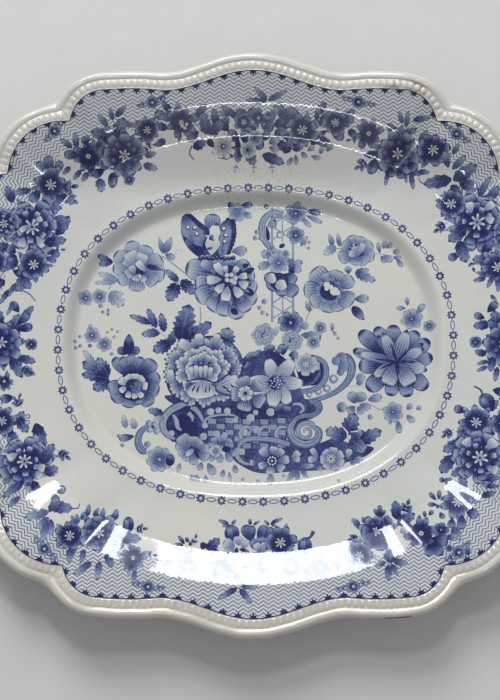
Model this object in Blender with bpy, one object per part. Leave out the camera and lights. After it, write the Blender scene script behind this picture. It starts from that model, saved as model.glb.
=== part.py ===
"""Blue-and-white china serving platter with a lobed, beaded edge.

The platter lies on its foot.  The origin is the middle of the foot's plane, +X runs along the
platter's length and +Z points up out of the well.  All sizes are metres.

Three clay pieces make the platter before it is fired:
  platter_body  the pressed bat: flat well, cavetto and broad rim
  foot_ring     the oval roll luted under the well, ground flat where it stands
  beaded_lip    the moulded edge: a band of beads and the rounded lip outside it
"""

import math

import bmesh
import bpy
import numpy as np

# --- driving dimensions -------------------------------------------------------------------------
HALF_LENGTH = 0.1835          # middle of the end lobes, over the lip
HALF_WIDTH = 0.1660           # middle of the long-side lobes, over the lip
EDGE_BAND = 0.0108            # bead band and lip together, measured outward

LOBE_RISE = 0.0117            # how far the bracket's middle stands proud of its shoulders
SIDE_BUMP = 0.052             # half length of the raised middle of a long-side lobe
END_BUMP = 0.047              # the same on an end lobe
SHOULDER_RADIUS = 0.0214      # round end of each bracket, at its notch
CORNER_RADIUS = 0.0340        # corner lobes are quarter circles
CORNER_CENTRE = (0.1057, 0.0920)
SIDE_NOTCH = 0.1051           # where a long-side lobe's straight end stops, along X
END_NOTCH = 0.0949            # the same on an end lobe, along Y
NOTCHES = ((0.1382, 0.0935), (0.1037, 0.1245))   # where neighbouring lobes meet
NOTCH_SOFTENING = math.radians(1.5)   # rounding of a notch at the outermost edge

PAST_MIDDLE = 0.006           # each half lobe starts this far beyond its middle

OVAL_POWER = 2.3              # the well's ovals are superellipses
WELL_FLOOR = (0.0915, 0.0720)     # half axes of the flat floor
WELL_SHOULDER = (0.1062, 0.0858)  # half axes where the cavetto turns into the rim
RIM_START = (0.1112, 0.0906)      # half axes where the rim's slope begins
FOOT_OVAL = (0.0880, 0.0690)      # half axes of the middle of the foot ring

FOOT_HEIGHT = 0.0042
FOOT_WIDTH = 0.0070
BODY_THICKNESS = 0.0048
CAVETTO_RISE = 0.0094
RIM_RISE = 0.0128             # from the rim's start to the bead band
RIM_CURVE = 1.25              # above 1 the rim steepens outward
CREASE_DEPTH = 0.0014         # soft valley that runs in from each notch
CREASE_WIDTH = math.radians(3.2)

UNDER_FLAT = 0.0010           # the flat underside reaches this far past the well's floor
UNDER_BEND = 0.0020           # the underside turns into the rim this far outside the shoulder
JOINT_GAP = 0.0003            # between luted pieces

BODY_SEGMENTS = 192
FOOT_SEGMENTS = 96
TABLE_STEP = math.radians(0.25)

FLOOR_Z = FOOT_HEIGHT + JOINT_GAP + BODY_THICKNESS
RIM_START_Z = FLOOR_Z + CAVETTO_RISE
BAND_Z = RIM_START_Z + RIM_RISE

CHINA_WHITE = (0.80, 0.78, 0.74, 1.0)
FOOT_BISCUIT = (0.70, 0.64, 0.54, 1.0)
LIP_WHITE = (0.86, 0.84, 0.80, 1.0)


# --- plan curves --------------------------------------------------------------------------------
def arc(centre, radius, start_deg, end_deg, count=40):
    """Points of a circular arc, counted from start to end."""
    angles = np.radians(np.linspace(start_deg, end_deg, count))
    return np.column_stack((centre[0] + radius * np.cos(angles), centre[1] + radius * np.sin(angles)))


def bracket(crown, bump, notch, out):
    """Half a bracket lobe grown outward by out, as (along, away) points from its middle to its notch.

    A raised cosine stands on a straight shoulder, which ends in a quarter round at the notch.
    """
    shoulder = crown - LOBE_RISE
    along = np.linspace(-PAST_MIDDLE, bump, 45)
    away = shoulder + LOBE_RISE * 0.5 * (1.0 + np.cos(math.pi * along / bump))
    slope = np.gradient(away, along)
    length = np.hypot(1.0, slope)
    raised = np.column_stack((along - out * slope / length, away + out / length))
    centre = (notch - SHOULDER_RADIUS, shoulder - SHOULDER_RADIUS)
    return np.vstack((raised, arc(centre, SHOULDER_RADIUS + out, 90.0, -15.0)))


def polar(points):
    """Angle and radius of each point, in order of angle."""
    angle = np.arctan2(points[:, 1], points[:, 0])
    order = np.argsort(angle)
    return angle[order], np.hypot(points[:, 0], points[:, 1])[order]


def edge_table(out):
    """Radius of the lobed edge grown outward by out, at every TABLE_STEP round the platter."""
    side = bracket(HALF_WIDTH - EDGE_BAND, SIDE_BUMP, SIDE_NOTCH, out)
    end = bracket(HALF_LENGTH - EDGE_BAND, END_BUMP, END_NOTCH, out)[:, ::-1]
    corner = arc(CORNER_CENTRE, CORNER_RADIUS + out, 108.0, -18.0)
    theta = np.arange(0.0, 2.0 * math.pi, TABLE_STEP)
    folded = np.arctan2(np.abs(np.sin(theta)), np.abs(np.cos(theta)))
    radius = np.zeros_like(theta)
    for lobe in (side, end, corner):
        angle, reach = polar(lobe)
        radius = np.maximum(radius, np.interp(folded, angle, reach, left=0.0, right=0.0))
    return soften(radius, NOTCH_SOFTENING * max(out, 0.0) / EDGE_BAND)


def soften(radius, width):
    """A periodic Gaussian blur of the radius table, width radians wide."""
    if width <= 0.0:
        return radius
    count = len(radius)
    offset = np.minimum(np.arange(count), count - np.arange(count)) * TABLE_STEP
    kernel = np.exp(-0.5 * (offset / width) ** 2)
    return np.real(np.fft.ifft(np.fft.fft(radius) * np.fft.fft(kernel / kernel.sum())))


def edge_radius(theta, out):
    """Radius of the edge curve at each angle: 0 is the printed line, EDGE_BAND the lip's limit."""
    table = edge_table(out)
    grid = np.arange(len(table) + 1) * TABLE_STEP
    return np.interp(np.mod(theta, 2.0 * math.pi), grid, np.append(table, table[0]))


def oval_radius(theta, half_axes):
    """Radius of a superellipse at each angle."""
    across = np.abs(np.cos(theta) / half_axes[0]) ** OVAL_POWER
    along = np.abs(np.sin(theta) / half_axes[1]) ** OVAL_POWER
    return (across + along) ** (-1.0 / OVAL_POWER)


def crease(theta):
    """0 to 1: how deep in a notch's valley each angle lies."""
    folded = np.arctan2(np.abs(np.sin(theta)), np.abs(np.cos(theta)))
    depth = np.zeros_like(theta)
    for x, y in NOTCHES:
        away = folded - math.atan2(y, x)
        depth = np.maximum(depth, np.exp(-0.5 * (away / CREASE_WIDTH) ** 2))
    return depth


# --- meshes -------------------------------------------------------------------------------------
def china(name, colour, roughness):
    """A glazed or bare clay surface."""
    material = bpy.data.materials.new(name)
    material.use_nodes = True
    shader = material.node_tree.nodes["Principled BSDF"]
    shader.inputs["Base Color"].default_value = colour
    shader.inputs["Roughness"].default_value = roughness
    shader.inputs["Metallic"].default_value = 0.0
    return material


def add_object(name, mesh_data, material):
    """Links a bmesh as a smooth-shaded object with one material."""
    mesh = bpy.data.meshes.new(name)
    mesh_data.to_mesh(mesh)
    mesh_data.free()
    mesh.materials.append(material)
    mesh.shade_smooth()
    mesh.set_sharp_from_angle(angle=math.radians(40.0))
    part = bpy.data.objects.new(name, mesh)
    bpy.context.scene.collection.objects.link(part)
    return part


def add_ring(mesh_data, theta, radius, height):
    """One closed ring of vertices."""
    radius = np.broadcast_to(radius, theta.shape)
    height = np.broadcast_to(height, theta.shape)
    return [
        mesh_data.verts.new((r * math.cos(t), r * math.sin(t), z))
        for t, r, z in zip(theta, radius, height)
    ]


def skin(mesh_data, lower, upper):
    """Quads between two rings, facing away from the axis when upper follows lower outside."""
    count = len(lower)
    for index in range(count):
        following = (index + 1) % count
        mesh_data.faces.new((lower[index], lower[following], upper[following], upper[index]))


def cap(mesh_data, ring):
    """Closes a ring with one flat face."""
    mesh_data.faces.new(ring)


def rim_height(theta, share):
    """Height of the rim's upper face, share 0 at its start and 1 at the bead band."""
    return RIM_START_Z + RIM_RISE * share ** RIM_CURVE - CREASE_DEPTH * crease(theta) * share ** 2


def build_body():
    """The pressed bat: one shell whose upper and lower faces meet at the bead band."""
    theta = np.linspace(0.0, 2.0 * math.pi, BODY_SEGMENTS, endpoint=False)
    floor = oval_radius(theta, WELL_FLOOR)
    shoulder = oval_radius(theta, WELL_SHOULDER)
    start = oval_radius(theta, RIM_START)
    line = edge_radius(theta, 0.0)
    mesh_data = bmesh.new()

    # Underside, from the middle outward: flat under the well, then one thickness below the top.
    under_z = FLOOR_Z - BODY_THICKNESS
    lower = []
    for outward, climb in ((0.0, 0.0), (0.22, 0.05), (0.60, 0.36), (1.0, 0.74)):
        radius = floor + UNDER_FLAT + (shoulder + UNDER_BEND - floor) * outward
        lower.append(add_ring(mesh_data, theta, radius, under_z + climb * CAVETTO_RISE))
    for share in (0.12, 0.55, 1.0):
        radius = start + (line - start) * share
        lower.append(add_ring(mesh_data, theta, radius, rim_height(theta, share) - BODY_THICKNESS))

    # Upper side, from the bead band inward.
    upper = []
    for share in (1.0, 0.7, 0.35, 0.0):
        radius = start + (line - start) * share
        upper.append(add_ring(mesh_data, theta, radius, rim_height(theta, share)))
    for inward, fall in ((0.33, 0.10), (0.62, 0.52), (0.84, 0.88), (1.0, 1.0)):
        radius = start + (floor - start) * inward
        upper.append(add_ring(mesh_data, theta, radius, RIM_START_Z - CAVETTO_RISE * fall))

    rings = lower + upper
    for inner, outer in zip(rings, rings[1:]):
        skin(mesh_data, inner, outer)
    cap(mesh_data, list(reversed(lower[0])))
    cap(mesh_data, upper[-1])
    return add_object("platter_body", mesh_data, china("glazed_china", CHINA_WHITE, 0.12))


def closed_loop(mesh_data, rings):
    """Skins a ring-shaped body round its closed section."""
    for index, ring in enumerate(rings):
        skin(mesh_data, ring, rings[(index + 1) % len(rings)])


def build_foot():
    """The oval foot: a roll of clay, wider where it is luted on, with a flat ground face."""
    theta = np.linspace(0.0, 2.0 * math.pi, FOOT_SEGMENTS, endpoint=False)
    middle = oval_radius(theta, FOOT_OVAL)
    section = (
        (-0.50, 1.00), (-0.38, 0.30), (-0.24, 0.00), (0.24, 0.00), (0.38, 0.30), (0.50, 1.00),
    )
    mesh_data = bmesh.new()
    rings = [
        add_ring(mesh_data, theta, middle + across * FOOT_WIDTH, up * FOOT_HEIGHT)
        for across, up in section
    ]
    closed_loop(mesh_data, rings)
    return add_object("foot_ring", mesh_data, china("ground_foot", FOOT_BISCUIT, 0.55))


def build_lip():
    """The moulded edge: a low band for the beads, a groove, and the rounded lip."""
    theta = np.linspace(0.0, 2.0 * math.pi, BODY_SEGMENTS, endpoint=False)
    # Each point of the section: share of the band's width, height above the rim's outer edge.
    section = (
        (0.00, -0.0047), (0.62, -0.0044), (0.86, -0.0030), (0.99, -0.0008), (1.00, 0.0006),
        (0.92, 0.0018), (0.74, 0.0023), (0.58, 0.0014), (0.50, 0.0002), (0.40, 0.0008),
        (0.22, 0.0012), (0.00, 0.0000),
    )
    dip = CREASE_DEPTH * crease(theta)
    mesh_data = bmesh.new()
    rings = []
    for share, above in section:
        out = JOINT_GAP + (EDGE_BAND - JOINT_GAP) * share
        rings.append(add_ring(mesh_data, theta, edge_radius(theta, out), BAND_Z + above - dip))
    closed_loop(mesh_data, rings)
    return add_object("beaded_lip", mesh_data, china("lip_china", LIP_WHITE, 0.25))


def main():
    for existing in list(bpy.data.objects):
        bpy.data.objects.remove(existing, do_unlink=True)
    build_body()
    build_foot()
    build_lip()


main()
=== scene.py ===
"""The looks of a blue-and-white china serving platter with a lobed, beaded edge.

The platter is four pieces of mesh: its printed upper face, its underside, the beaded lip and the
foot.  The print is flat shapes in millimetres, petals and leaves and scrolls, laid over each other
on the plan, cut into one mesh and lifted onto the platter's surface.  Each shape carries the tones
that the ink material shades it with.  Lengths are metres, except in the print, which is in mm.
"""

import math
import random

import bpy
import numpy as np
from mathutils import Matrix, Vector
from mathutils.geometry import delaunay_2d_cdt


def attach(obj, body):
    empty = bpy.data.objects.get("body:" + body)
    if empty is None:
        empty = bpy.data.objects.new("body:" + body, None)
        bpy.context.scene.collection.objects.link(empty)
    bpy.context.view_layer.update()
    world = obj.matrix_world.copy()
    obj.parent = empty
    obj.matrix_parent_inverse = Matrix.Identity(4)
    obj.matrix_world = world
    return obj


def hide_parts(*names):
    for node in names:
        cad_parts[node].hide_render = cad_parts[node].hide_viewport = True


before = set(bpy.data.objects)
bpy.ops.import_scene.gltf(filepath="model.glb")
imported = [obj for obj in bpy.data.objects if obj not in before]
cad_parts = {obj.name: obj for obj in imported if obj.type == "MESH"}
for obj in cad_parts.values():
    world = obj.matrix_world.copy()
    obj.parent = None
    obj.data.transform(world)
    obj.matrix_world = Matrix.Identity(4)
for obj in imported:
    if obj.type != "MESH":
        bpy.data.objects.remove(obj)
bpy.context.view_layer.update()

MM = 0.001
rng = random.Random(11)

# --- the platter's sizes ------------------------------------------------------------------------
HALF_LENGTH = 0.1835
HALF_WIDTH = 0.1660
EDGE_BAND = 0.0108
LOBE_RISE = 0.0117
SIDE_BUMP = 0.052
END_BUMP = 0.047
SHOULDER_RADIUS = 0.0214
CORNER_RADIUS = 0.0340
CORNER_CENTRE = (0.1057, 0.0920)
SIDE_NOTCH = 0.1051
END_NOTCH = 0.0949
NOTCHES = ((0.1382, 0.0935), (0.1037, 0.1245))
NOTCH_SOFTENING = math.radians(1.5)
PAST_MIDDLE = 0.006

OVAL_POWER = 2.3
WELL_FLOOR = (0.0915, 0.0720)
RIM_START = (0.1112, 0.0906)
FOOT_OVAL = (0.0880, 0.0690)
FOOT_HEIGHT = 0.0042
FOOT_WIDTH = 0.0070
BODY_THICKNESS = 0.0048
JOINT_GAP = 0.0003
CAVETTO_RISE = 0.0068
CAVETTO_SHARE = (0.37, 0.88)  # where the cavetto stands, between the floor's edge and the rim's start
RIM_INNER_SLOPE = 0.164       # the rim is a little steeper in a belt half way out
RIM_BELT_SLOPE = 0.282
RIM_OUTER_SLOPE = 0.174
RIM_BELT = (0.0280, 0.0462)   # the belt's limits, out from where the rim starts
RIM_TURN = 0.0044             # half the width of the turn at each of the belt's limits
RIM_EASE = 0.006              # how far out the rim's slope takes to grow from the level
CREASE_DEPTH = 0.0025         # each notch's soft valley across the rim
CREASE_WIDTH = math.radians(2.5)
FLOOR_Z = FOOT_HEIGHT + JOINT_GAP + BODY_THICKNESS

BEAD_PITCH = 0.0038
BEAD_ROW = 0.00295            # the beads' middle line, out from the printed line
BEAD_REACH = 0.00205          # half a bead's length across the row
BEAD_HEIGHT = 0.00085
COLUMNS_PER_BEAD = 7
PACED_ROW = 0.0029            # the curve along which the lip's columns are evenly spaced
TABLE_STEP = math.radians(0.25)


# --- plan curves --------------------------------------------------------------------------------
def run_along(x, y):
    """Length of the curve up to each of its points."""
    return np.concatenate(([0.0], np.cumsum(np.hypot(np.diff(x), np.diff(y)))))


def on_plan(theta, radius):
    """Plan points at polar angles and radii."""
    return np.column_stack((radius * np.cos(theta), radius * np.sin(theta)))


def spline_point(a, b, c, d, t):
    """The Catmull-Rom point at t between b and c."""
    return 0.5 * (
        2 * b + (c - a) * t + (2 * a - 5 * b + 4 * c - d) * t ** 2 + (3 * b - a - 3 * c + d) * t ** 3
    )


def arc(centre, radius, start_deg, end_deg):
    """Points of a circular arc."""
    angles = np.radians(np.linspace(start_deg, end_deg, 40))
    return np.column_stack((centre[0] + radius * np.cos(angles), centre[1] + radius * np.sin(angles)))


def bracket(crown, bump, notch, out):
    """Half a bracket lobe grown outward by out, from past its middle to its notch."""
    shoulder = crown - LOBE_RISE
    along = np.linspace(-PAST_MIDDLE, bump, 45)
    away = shoulder + LOBE_RISE * 0.5 * (1.0 + np.cos(math.pi * along / bump))
    slope = np.gradient(away, along)
    length = np.hypot(1.0, slope)
    raised = np.column_stack((along - out * slope / length, away + out / length))
    centre = (notch - SHOULDER_RADIUS, shoulder - SHOULDER_RADIUS)
    return np.vstack((raised, arc(centre, SHOULDER_RADIUS + out, 90.0, -15.0)))


def polar(points):
    """Angle and radius of each point, in order of angle."""
    angle = np.arctan2(points[:, 1], points[:, 0])
    order = np.argsort(angle)
    return angle[order], np.hypot(points[:, 0], points[:, 1])[order]


def soften(radius, width):
    """A periodic Gaussian blur of a radius table, width radians wide."""
    if width <= 0.0:
        return radius
    count = len(radius)
    offset = np.minimum(np.arange(count), count - np.arange(count)) * TABLE_STEP
    kernel = np.exp(-0.5 * (offset / width) ** 2)
    return np.real(np.fft.ifft(np.fft.fft(radius) * np.fft.fft(kernel / kernel.sum())))


def edge_table(out, softening):
    """Radius of the lobed edge grown outward by out, at every TABLE_STEP round the platter."""
    side = bracket(HALF_WIDTH - EDGE_BAND, SIDE_BUMP, SIDE_NOTCH, out)
    end = bracket(HALF_LENGTH - EDGE_BAND, END_BUMP, END_NOTCH, out)[:, ::-1]
    corner = arc(CORNER_CENTRE, CORNER_RADIUS + out, 108.0, -18.0)
    theta = np.arange(0.0, 2.0 * math.pi, TABLE_STEP)
    folded = np.arctan2(np.abs(np.sin(theta)), np.abs(np.cos(theta)))
    radius = np.zeros_like(theta)
    for lobe in (side, end, corner):
        angle, reach = polar(lobe)
        radius = np.maximum(radius, np.interp(folded, angle, reach, left=0.0, right=0.0))
    return soften(radius, softening)


def table_radius(theta, table):
    """Reads a radius table at any angles."""
    grid = np.arange(len(table) + 1) * TABLE_STEP
    return np.interp(np.mod(theta, 2.0 * math.pi), grid, np.append(table, table[0]))


LINE_TABLE = edge_table(0.0, 0.0)
SOFT_LINE_TABLE = edge_table(0.0, math.radians(2.0))   # for the rim's slope, which has no sharp notch


def edge_radius(theta, out):
    """Radius of the edge curve: 0 is the printed line, EDGE_BAND the lip's limit."""
    if out == 0.0:
        return table_radius(theta, LINE_TABLE)
    return table_radius(theta, edge_table(out, NOTCH_SOFTENING * max(out, 0.0) / EDGE_BAND))


def oval_radius(theta, half_axes):
    """Radius of a superellipse at each angle."""
    across = np.abs(np.cos(theta) / half_axes[0]) ** OVAL_POWER
    along = np.abs(np.sin(theta) / half_axes[1]) ** OVAL_POWER
    return (across + along) ** (-1.0 / OVAL_POWER)


def notch_angles():
    """The eight notches' angles, counter-clockwise from +X."""
    folded = [math.atan2(y, x) for x, y in NOTCHES]
    return sorted(
        folded + [math.pi - a for a in folded] + [math.pi + a for a in folded]
        + [2.0 * math.pi - a for a in folded]
    )


def lobe_bounds():
    """The notches' angles at both ends of each lobe; the first lobe is a corner's."""
    notches = notch_angles()
    return list(zip(notches, notches[1:] + [notches[0] + 2.0 * math.pi]))


def crease(theta):
    """0 to 1: how deep in a notch's soft valley each angle lies."""
    depth = np.zeros_like(theta)
    for notch in notch_angles():
        away = np.mod(theta - notch + math.pi, 2.0 * math.pi) - math.pi
        depth = np.maximum(depth, np.exp(-0.5 * (away / CREASE_WIDTH) ** 2))
    return depth


def unevenness(x, y):
    """The slow waviness that a hand-pressed plate keeps through its firing."""
    return 0.00005 * (
        np.sin(61.0 * x + 23.0 * y + 0.4) + np.sin(37.0 * x - 71.0 * y + 1.9)
        + 0.6 * np.sin(118.0 * x + 95.0 * y + 2.7) + 0.5 * np.sin(143.0 * x - 101.0 * y + 5.1)
    )


def soft_ramp(run):
    """0 before the turn and run after it, with a rounded turn."""
    return 0.5 * (run + np.sqrt(run * run + RIM_TURN ** 2)) - 0.5 * RIM_TURN * np.exp(-np.abs(run) / RIM_TURN)


def rounded_start(out):
    """The rim's first few millimetres, which grow out of the level top of the cavetto."""
    return out - RIM_EASE * (1.0 - np.exp(-out / RIM_EASE))


def face_height(x, y):
    """Height of the upper face: flat well, cavetto, and a rim with a steeper belt half way out."""
    theta, radius = np.arctan2(y, x), np.hypot(x, y)
    floor, start = oval_radius(theta, WELL_FLOOR), oval_radius(theta, RIM_START)
    line = table_radius(theta, SOFT_LINE_TABLE)
    climb = ((radius - floor) / (start - floor) - CAVETTO_SHARE[0]) / (CAVETTO_SHARE[1] - CAVETTO_SHARE[0])
    climb = np.clip(climb, 0.0, 1.0)
    wall = climb * climb * (3.0 - 2.0 * climb)
    out = np.maximum(radius - start, 0.0)
    share = np.clip(out / (line - start), 0.0, 1.2)
    rise = (
        RIM_INNER_SLOPE * rounded_start(out)
        + (RIM_BELT_SLOPE - RIM_INNER_SLOPE) * soft_ramp(out - RIM_BELT[0])
        + (RIM_OUTER_SLOPE - RIM_BELT_SLOPE) * soft_ramp(out - RIM_BELT[1])
    )
    return (
        FLOOR_Z + CAVETTO_RISE * wall + rise - CREASE_DEPTH * crease(theta) * share
        + unevenness(x, y)
    )


def face_normals(x, y):
    """Unit normals of the upper face, from its slope."""
    step = 0.0003
    slope_x = (face_height(x + step, y) - face_height(x - step, y)) / (2.0 * step)
    slope_y = (face_height(x, y + step) - face_height(x, y - step)) / (2.0 * step)
    normals = np.column_stack((-slope_x, -slope_y, np.ones_like(slope_x)))
    return normals / np.linalg.norm(normals, axis=1)[:, None]


def edge_columns():
    """Angles round the edge, evenly spaced along each lobe, and the bead phase at each angle."""
    angles, phases = [], []
    for start, end in lobe_bounds():
        fine = np.linspace(start, end, 600)
        radius = edge_radius(fine, PACED_ROW)
        x, y = radius * np.cos(fine), radius * np.sin(fine)
        run = run_along(x, y)
        beads = round(run[-1] / BEAD_PITCH)
        steps = beads * COLUMNS_PER_BEAD
        along = np.linspace(0.0, run[-1], steps, endpoint=False)
        angles.append(np.interp(along, run, fine))
        phases.append(np.arange(steps) / COLUMNS_PER_BEAD + 1000.0 * len(phases))
    return np.concatenate(angles), np.concatenate(phases)


COLUMN_ANGLES, BEAD_PHASES = edge_columns()

# --- inks: the density of the print at a shape's base, at its tip and on its outline -------------
PALE = (0.56, 0.20, 0.78)
PALER = (0.40, 0.10, 0.62)
WHITE = (0.30, 0.02, 0.86)
MID = (0.86, 0.34, 0.90)
BLUE = (0.98, 0.42, 0.95)
DARK = (1.06, 0.56, 0.98)
DEEP = (1.10, 0.96, 1.10)
SOLID = (1.08, 1.08, 1.08)
GREY = (0.44, 0.40, 0.58)
SHADE = (0.84, 0.94, 0.90)

# --- outlines: how a shape's width grows from its base and closes at its tip ---------------------
ROUND = (0.85, 0.46)
OVAL = (0.50, 0.50)
POINTED = (0.62, 0.82)
SPEAR = (0.50, 1.00)
STRAP = (0.34, 0.34)
LANCE = (0.75, 0.62)
TAPERED = (0.60, 0.78)
EVEN = (0.0, 0.0)

CHINA, MOTIF, ZIGZAG = 0.0, 1.0, 2.0


def axes_of(x0, y0, x1, y1):
    """The unit vector from one point to another, the one square to it, and the distance."""
    along = np.array([x1 - x0, y1 - y0], float)
    length = float(np.hypot(*along))
    along /= length
    return along, np.array([-along[1], along[0]]), length


class Print:
    """The transfer print: flat shapes in mm, the later ones printed over the earlier ones."""

    def __init__(self):
        self.outlines, self.frames, self.inks, self.forms, self.kinds = [], [], [], [], []

    def add(self, outline, frame_of, ink, form, vein=0.0, kind=MOTIF):
        """frame_of is (x, y, along x, along y, length, half width): the shape's own u, v axes."""
        outline = np.asarray(outline, float)
        ahead = np.roll(outline, -1, axis=0)
        turning = np.sum(outline[:, 0] * ahead[:, 1] - outline[:, 1] * ahead[:, 0])
        self.outlines.append(outline if turning > 0 else outline[::-1])
        self.frames.append(frame_of)
        self.inks.append(tuple(ink) + (vein,))
        self.forms.append(form)
        self.kinds.append(kind)

    def petal(self, x0, y0, x1, y1, width, ink=MID, form=ROUND, vein=0.35, frill=0.0, steps=0):
        """One petal from its base to its tip, as wide as given, with a frilled end if asked."""
        along, across, length = axes_of(x0, y0, x1, y1)
        steps = steps or (6 if length < 6.0 else 9)
        share = 0.5 - 0.5 * np.cos(np.linspace(0.0, math.pi, steps + 2))[1:-1]
        half = 0.5 * width * profile(share, form)
        reach = share.copy()
        if frill:
            wave = 1.0 + frill * np.cos(np.arange(len(share)) * math.pi)
            half, reach = half * wave, reach * (1.0 + 0.5 * (wave - 1.0) * share)
        points = [(x0, y0)]
        points += [(x0, y0) + along * (r * length) + across * h for r, h in zip(reach, half)]
        points += [(x1, y1)]
        points += [
            (x0, y0) + along * (r * length) - across * h for r, h in zip(reach[::-1], half[::-1])
        ]
        self.add(points, (x0, y0, along[0], along[1], length, 0.5 * width), ink, form, vein)

    def leaf(self, x0, y0, x1, y1, width, ink=DARK, teeth=4, depth=0.24, form=POINTED):
        """A toothed leaf: its edge steps in after each tooth, and pale veins cross it."""
        along, across, length = axes_of(x0, y0, x1, y1)
        side = []
        for tooth in range(teeth):
            low, high = tooth / (teeth + 0.6), (tooth + 0.92) / (teeth + 0.6)
            side.append((low + 0.04, profile(np.array([low + 0.04]), form)[0] * (1.0 - depth)))
            side.append((high, profile(np.array([high * 0.94]), form)[0]))
        half = 0.5 * width
        points = [(x0, y0)]
        points += [(x0, y0) + along * (v * length) + across * (w * half) for v, w in side]
        points += [(x1, y1)]
        points += [(x0, y0) + along * (v * length) - across * (w * half) for v, w in side[::-1]]
        self.add(points, (x0, y0, along[0], along[1], length, half * 1.04), ink, form, -0.5)

    def patch(self, points, ink, spine, vein=0.3, form=ROUND):
        """A smooth closed shape through the points, shaded along spine = (x0, y0, x1, y1)."""
        points = np.asarray(points, float)
        loop = np.vstack((points[-1:], points, points[:2]))
        outline = []
        for i in range(1, len(loop) - 2):
            a, b, c, d = loop[i - 1:i + 3]
            for t in (0.0, 0.25, 0.5, 0.75):
                outline.append(spline_point(a, b, c, d, t))
        x0, y0, x1, y1 = spine
        along, across, length = axes_of(x0, y0, x1, y1)
        side = (np.array(outline) - (x0, y0)) @ across
        half = 1.02 * float(np.abs(side).max())
        self.add(outline, (x0, y0, along[0], along[1], length, half), ink, form, vein)

    def disc(self, x, y, radius, ink=SOLID, steps=12, stretch=1.0, turn=0.0):
        """A round or oval spot."""
        angle = np.linspace(0.0, 2.0 * math.pi, steps, endpoint=False)
        c, s = math.cos(math.radians(turn)), math.sin(math.radians(turn))
        px, py = radius * stretch * np.cos(angle), radius * np.sin(angle)
        points = np.column_stack((x + px * c - py * s, y + px * s + py * c))
        origin = (x - radius * stretch * c, y - radius * stretch * s)
        place = (origin[0], origin[1], c, s, 2.0 * radius * stretch, radius)
        self.add(points, place, ink, OVAL)

    def ribbon(self, points, widths, ink=GREY, vein=0.0, smooth=5):
        """A stem or scroll along a smooth curve through the points, its width following widths."""
        path = smooth_path(points, smooth)
        widths = np.interp(
            np.linspace(0, 1, len(path)), np.linspace(0, 1, len(np.atleast_1d(widths))), widths
        )
        tangent = np.gradient(path, axis=0)
        tangent /= np.maximum(np.linalg.norm(tangent, axis=1)[:, None], 1e-9)
        side = np.column_stack((-tangent[:, 1], tangent[:, 0])) * (0.5 * widths[:, None])
        left, right = path + side, path - side
        for i in range(len(path) - 1):
            quad = np.array((right[i], right[i + 1], left[i + 1], left[i]))
            spread = quad - quad.mean(axis=0)
            quad = quad[np.argsort(np.arctan2(spread[:, 1], spread[:, 0]))]
            step = path[i + 1] - path[i]
            length = max(float(np.hypot(*step)), 1e-6)
            half = 0.25 * (widths[i] + widths[i + 1])
            # v runs along the ribbon from 0.3 to 0.7, so only its long sides are outlined
            place = (
                path[i][0] - step[0] * 0.75, path[i][1] - step[1] * 0.75,
                step[0] / length, step[1] / length, length * 2.5, max(half, 1e-6),
            )
            self.add(quad, place, ink, EVEN, vein)


def profile(share, form):
    """Half width, 0 to 1, of a shape at each share of its length."""
    rise, close = form
    if rise == 0.0 and close == 0.0:
        return np.ones_like(share)
    widest = rise / (rise + close)
    share = np.clip(share, 1e-4, 1.0 - 1e-4)
    return (share / widest) ** rise * ((1.0 - share) / (1.0 - widest)) ** close


def smooth_path(points, per_span):
    """A Catmull-Rom curve through the points."""
    points = np.asarray(points, float)
    if len(points) == 2:
        return np.linspace(points[0], points[1], 3)
    padded = np.vstack((2 * points[0] - points[1], points, 2 * points[-1] - points[-2]))
    path = []
    for i in range(1, len(padded) - 2):
        a, b, c, d = padded[i - 1:i + 3]
        for t in np.linspace(0.0, 1.0, per_span, endpoint=False):
            path.append(spline_point(a, b, c, d, t))
    path.append(points[-1])
    return np.array(path)


sheet = Print()


# --- flowers ------------------------------------------------------------------------------------
def petals(ink, *places, form=ROUND, vein=0.45, frill=0.0):
    """Several petals, each (base x, base y, tip x, tip y, width)."""
    for place in places:
        sheet.petal(*place, ink, form, vein, frill)


def leaves(ink, *places, teeth=3, depth=0.22):
    """Several toothed leaves, each (base x, base y, tip x, tip y, width)."""
    for place in places:
        sheet.leaf(*place, ink, teeth, depth)


def discs(ink, *places, steps=12):
    """Several round spots, each (x, y, radius)."""
    for place in places:
        sheet.disc(*place, ink, steps)


def ring_of_petals(x, y, inner, outer, count, turn, width, ink, form=ROUND, vein=0.35, jitter=0.0):
    """Petals round a centre, from radius inner to radius outer."""
    for index in range(count):
        angle = math.radians(turn + 360.0 * index / count + jitter * rng.uniform(-9.0, 9.0))
        reach = outer * (1.0 + jitter * rng.uniform(-0.12, 0.08))
        c, s = math.cos(angle), math.sin(angle)
        sheet.petal(
            x + inner * c, y + inner * s, x + reach * c, y + reach * s,
            width * (1.0 + jitter * rng.uniform(-0.1, 0.1)), ink, form, vein,
        )


def rings_of_petals(x, y, radius, turn, *rings):
    """A flower's rings, back to front; inner, outer and width are shares of the flower's radius."""
    for inner, outer, count, more, width, ink, form, vein, jitter in rings:
        ring_of_petals(x, y, inner * radius, outer * radius, count, turn + more, width * radius,
                       ink, form, vein, jitter)


def dotted_heart(x, y, radius, ink=SOLID, seeds=7):
    """A dark flower centre with a ring of pale seeds."""
    sheet.disc(x, y, radius, ink)
    for index in range(seeds):
        angle = 2.0 * math.pi * index / seeds
        sheet.disc(x + 0.62 * radius * math.cos(angle), y + 0.62 * radius * math.sin(angle),
                   0.17 * radius, (0.1, 0.1, 0.3), steps=7)
    sheet.disc(x, y, 0.2 * radius, (0.15, 0.15, 0.4), steps=7)


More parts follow.
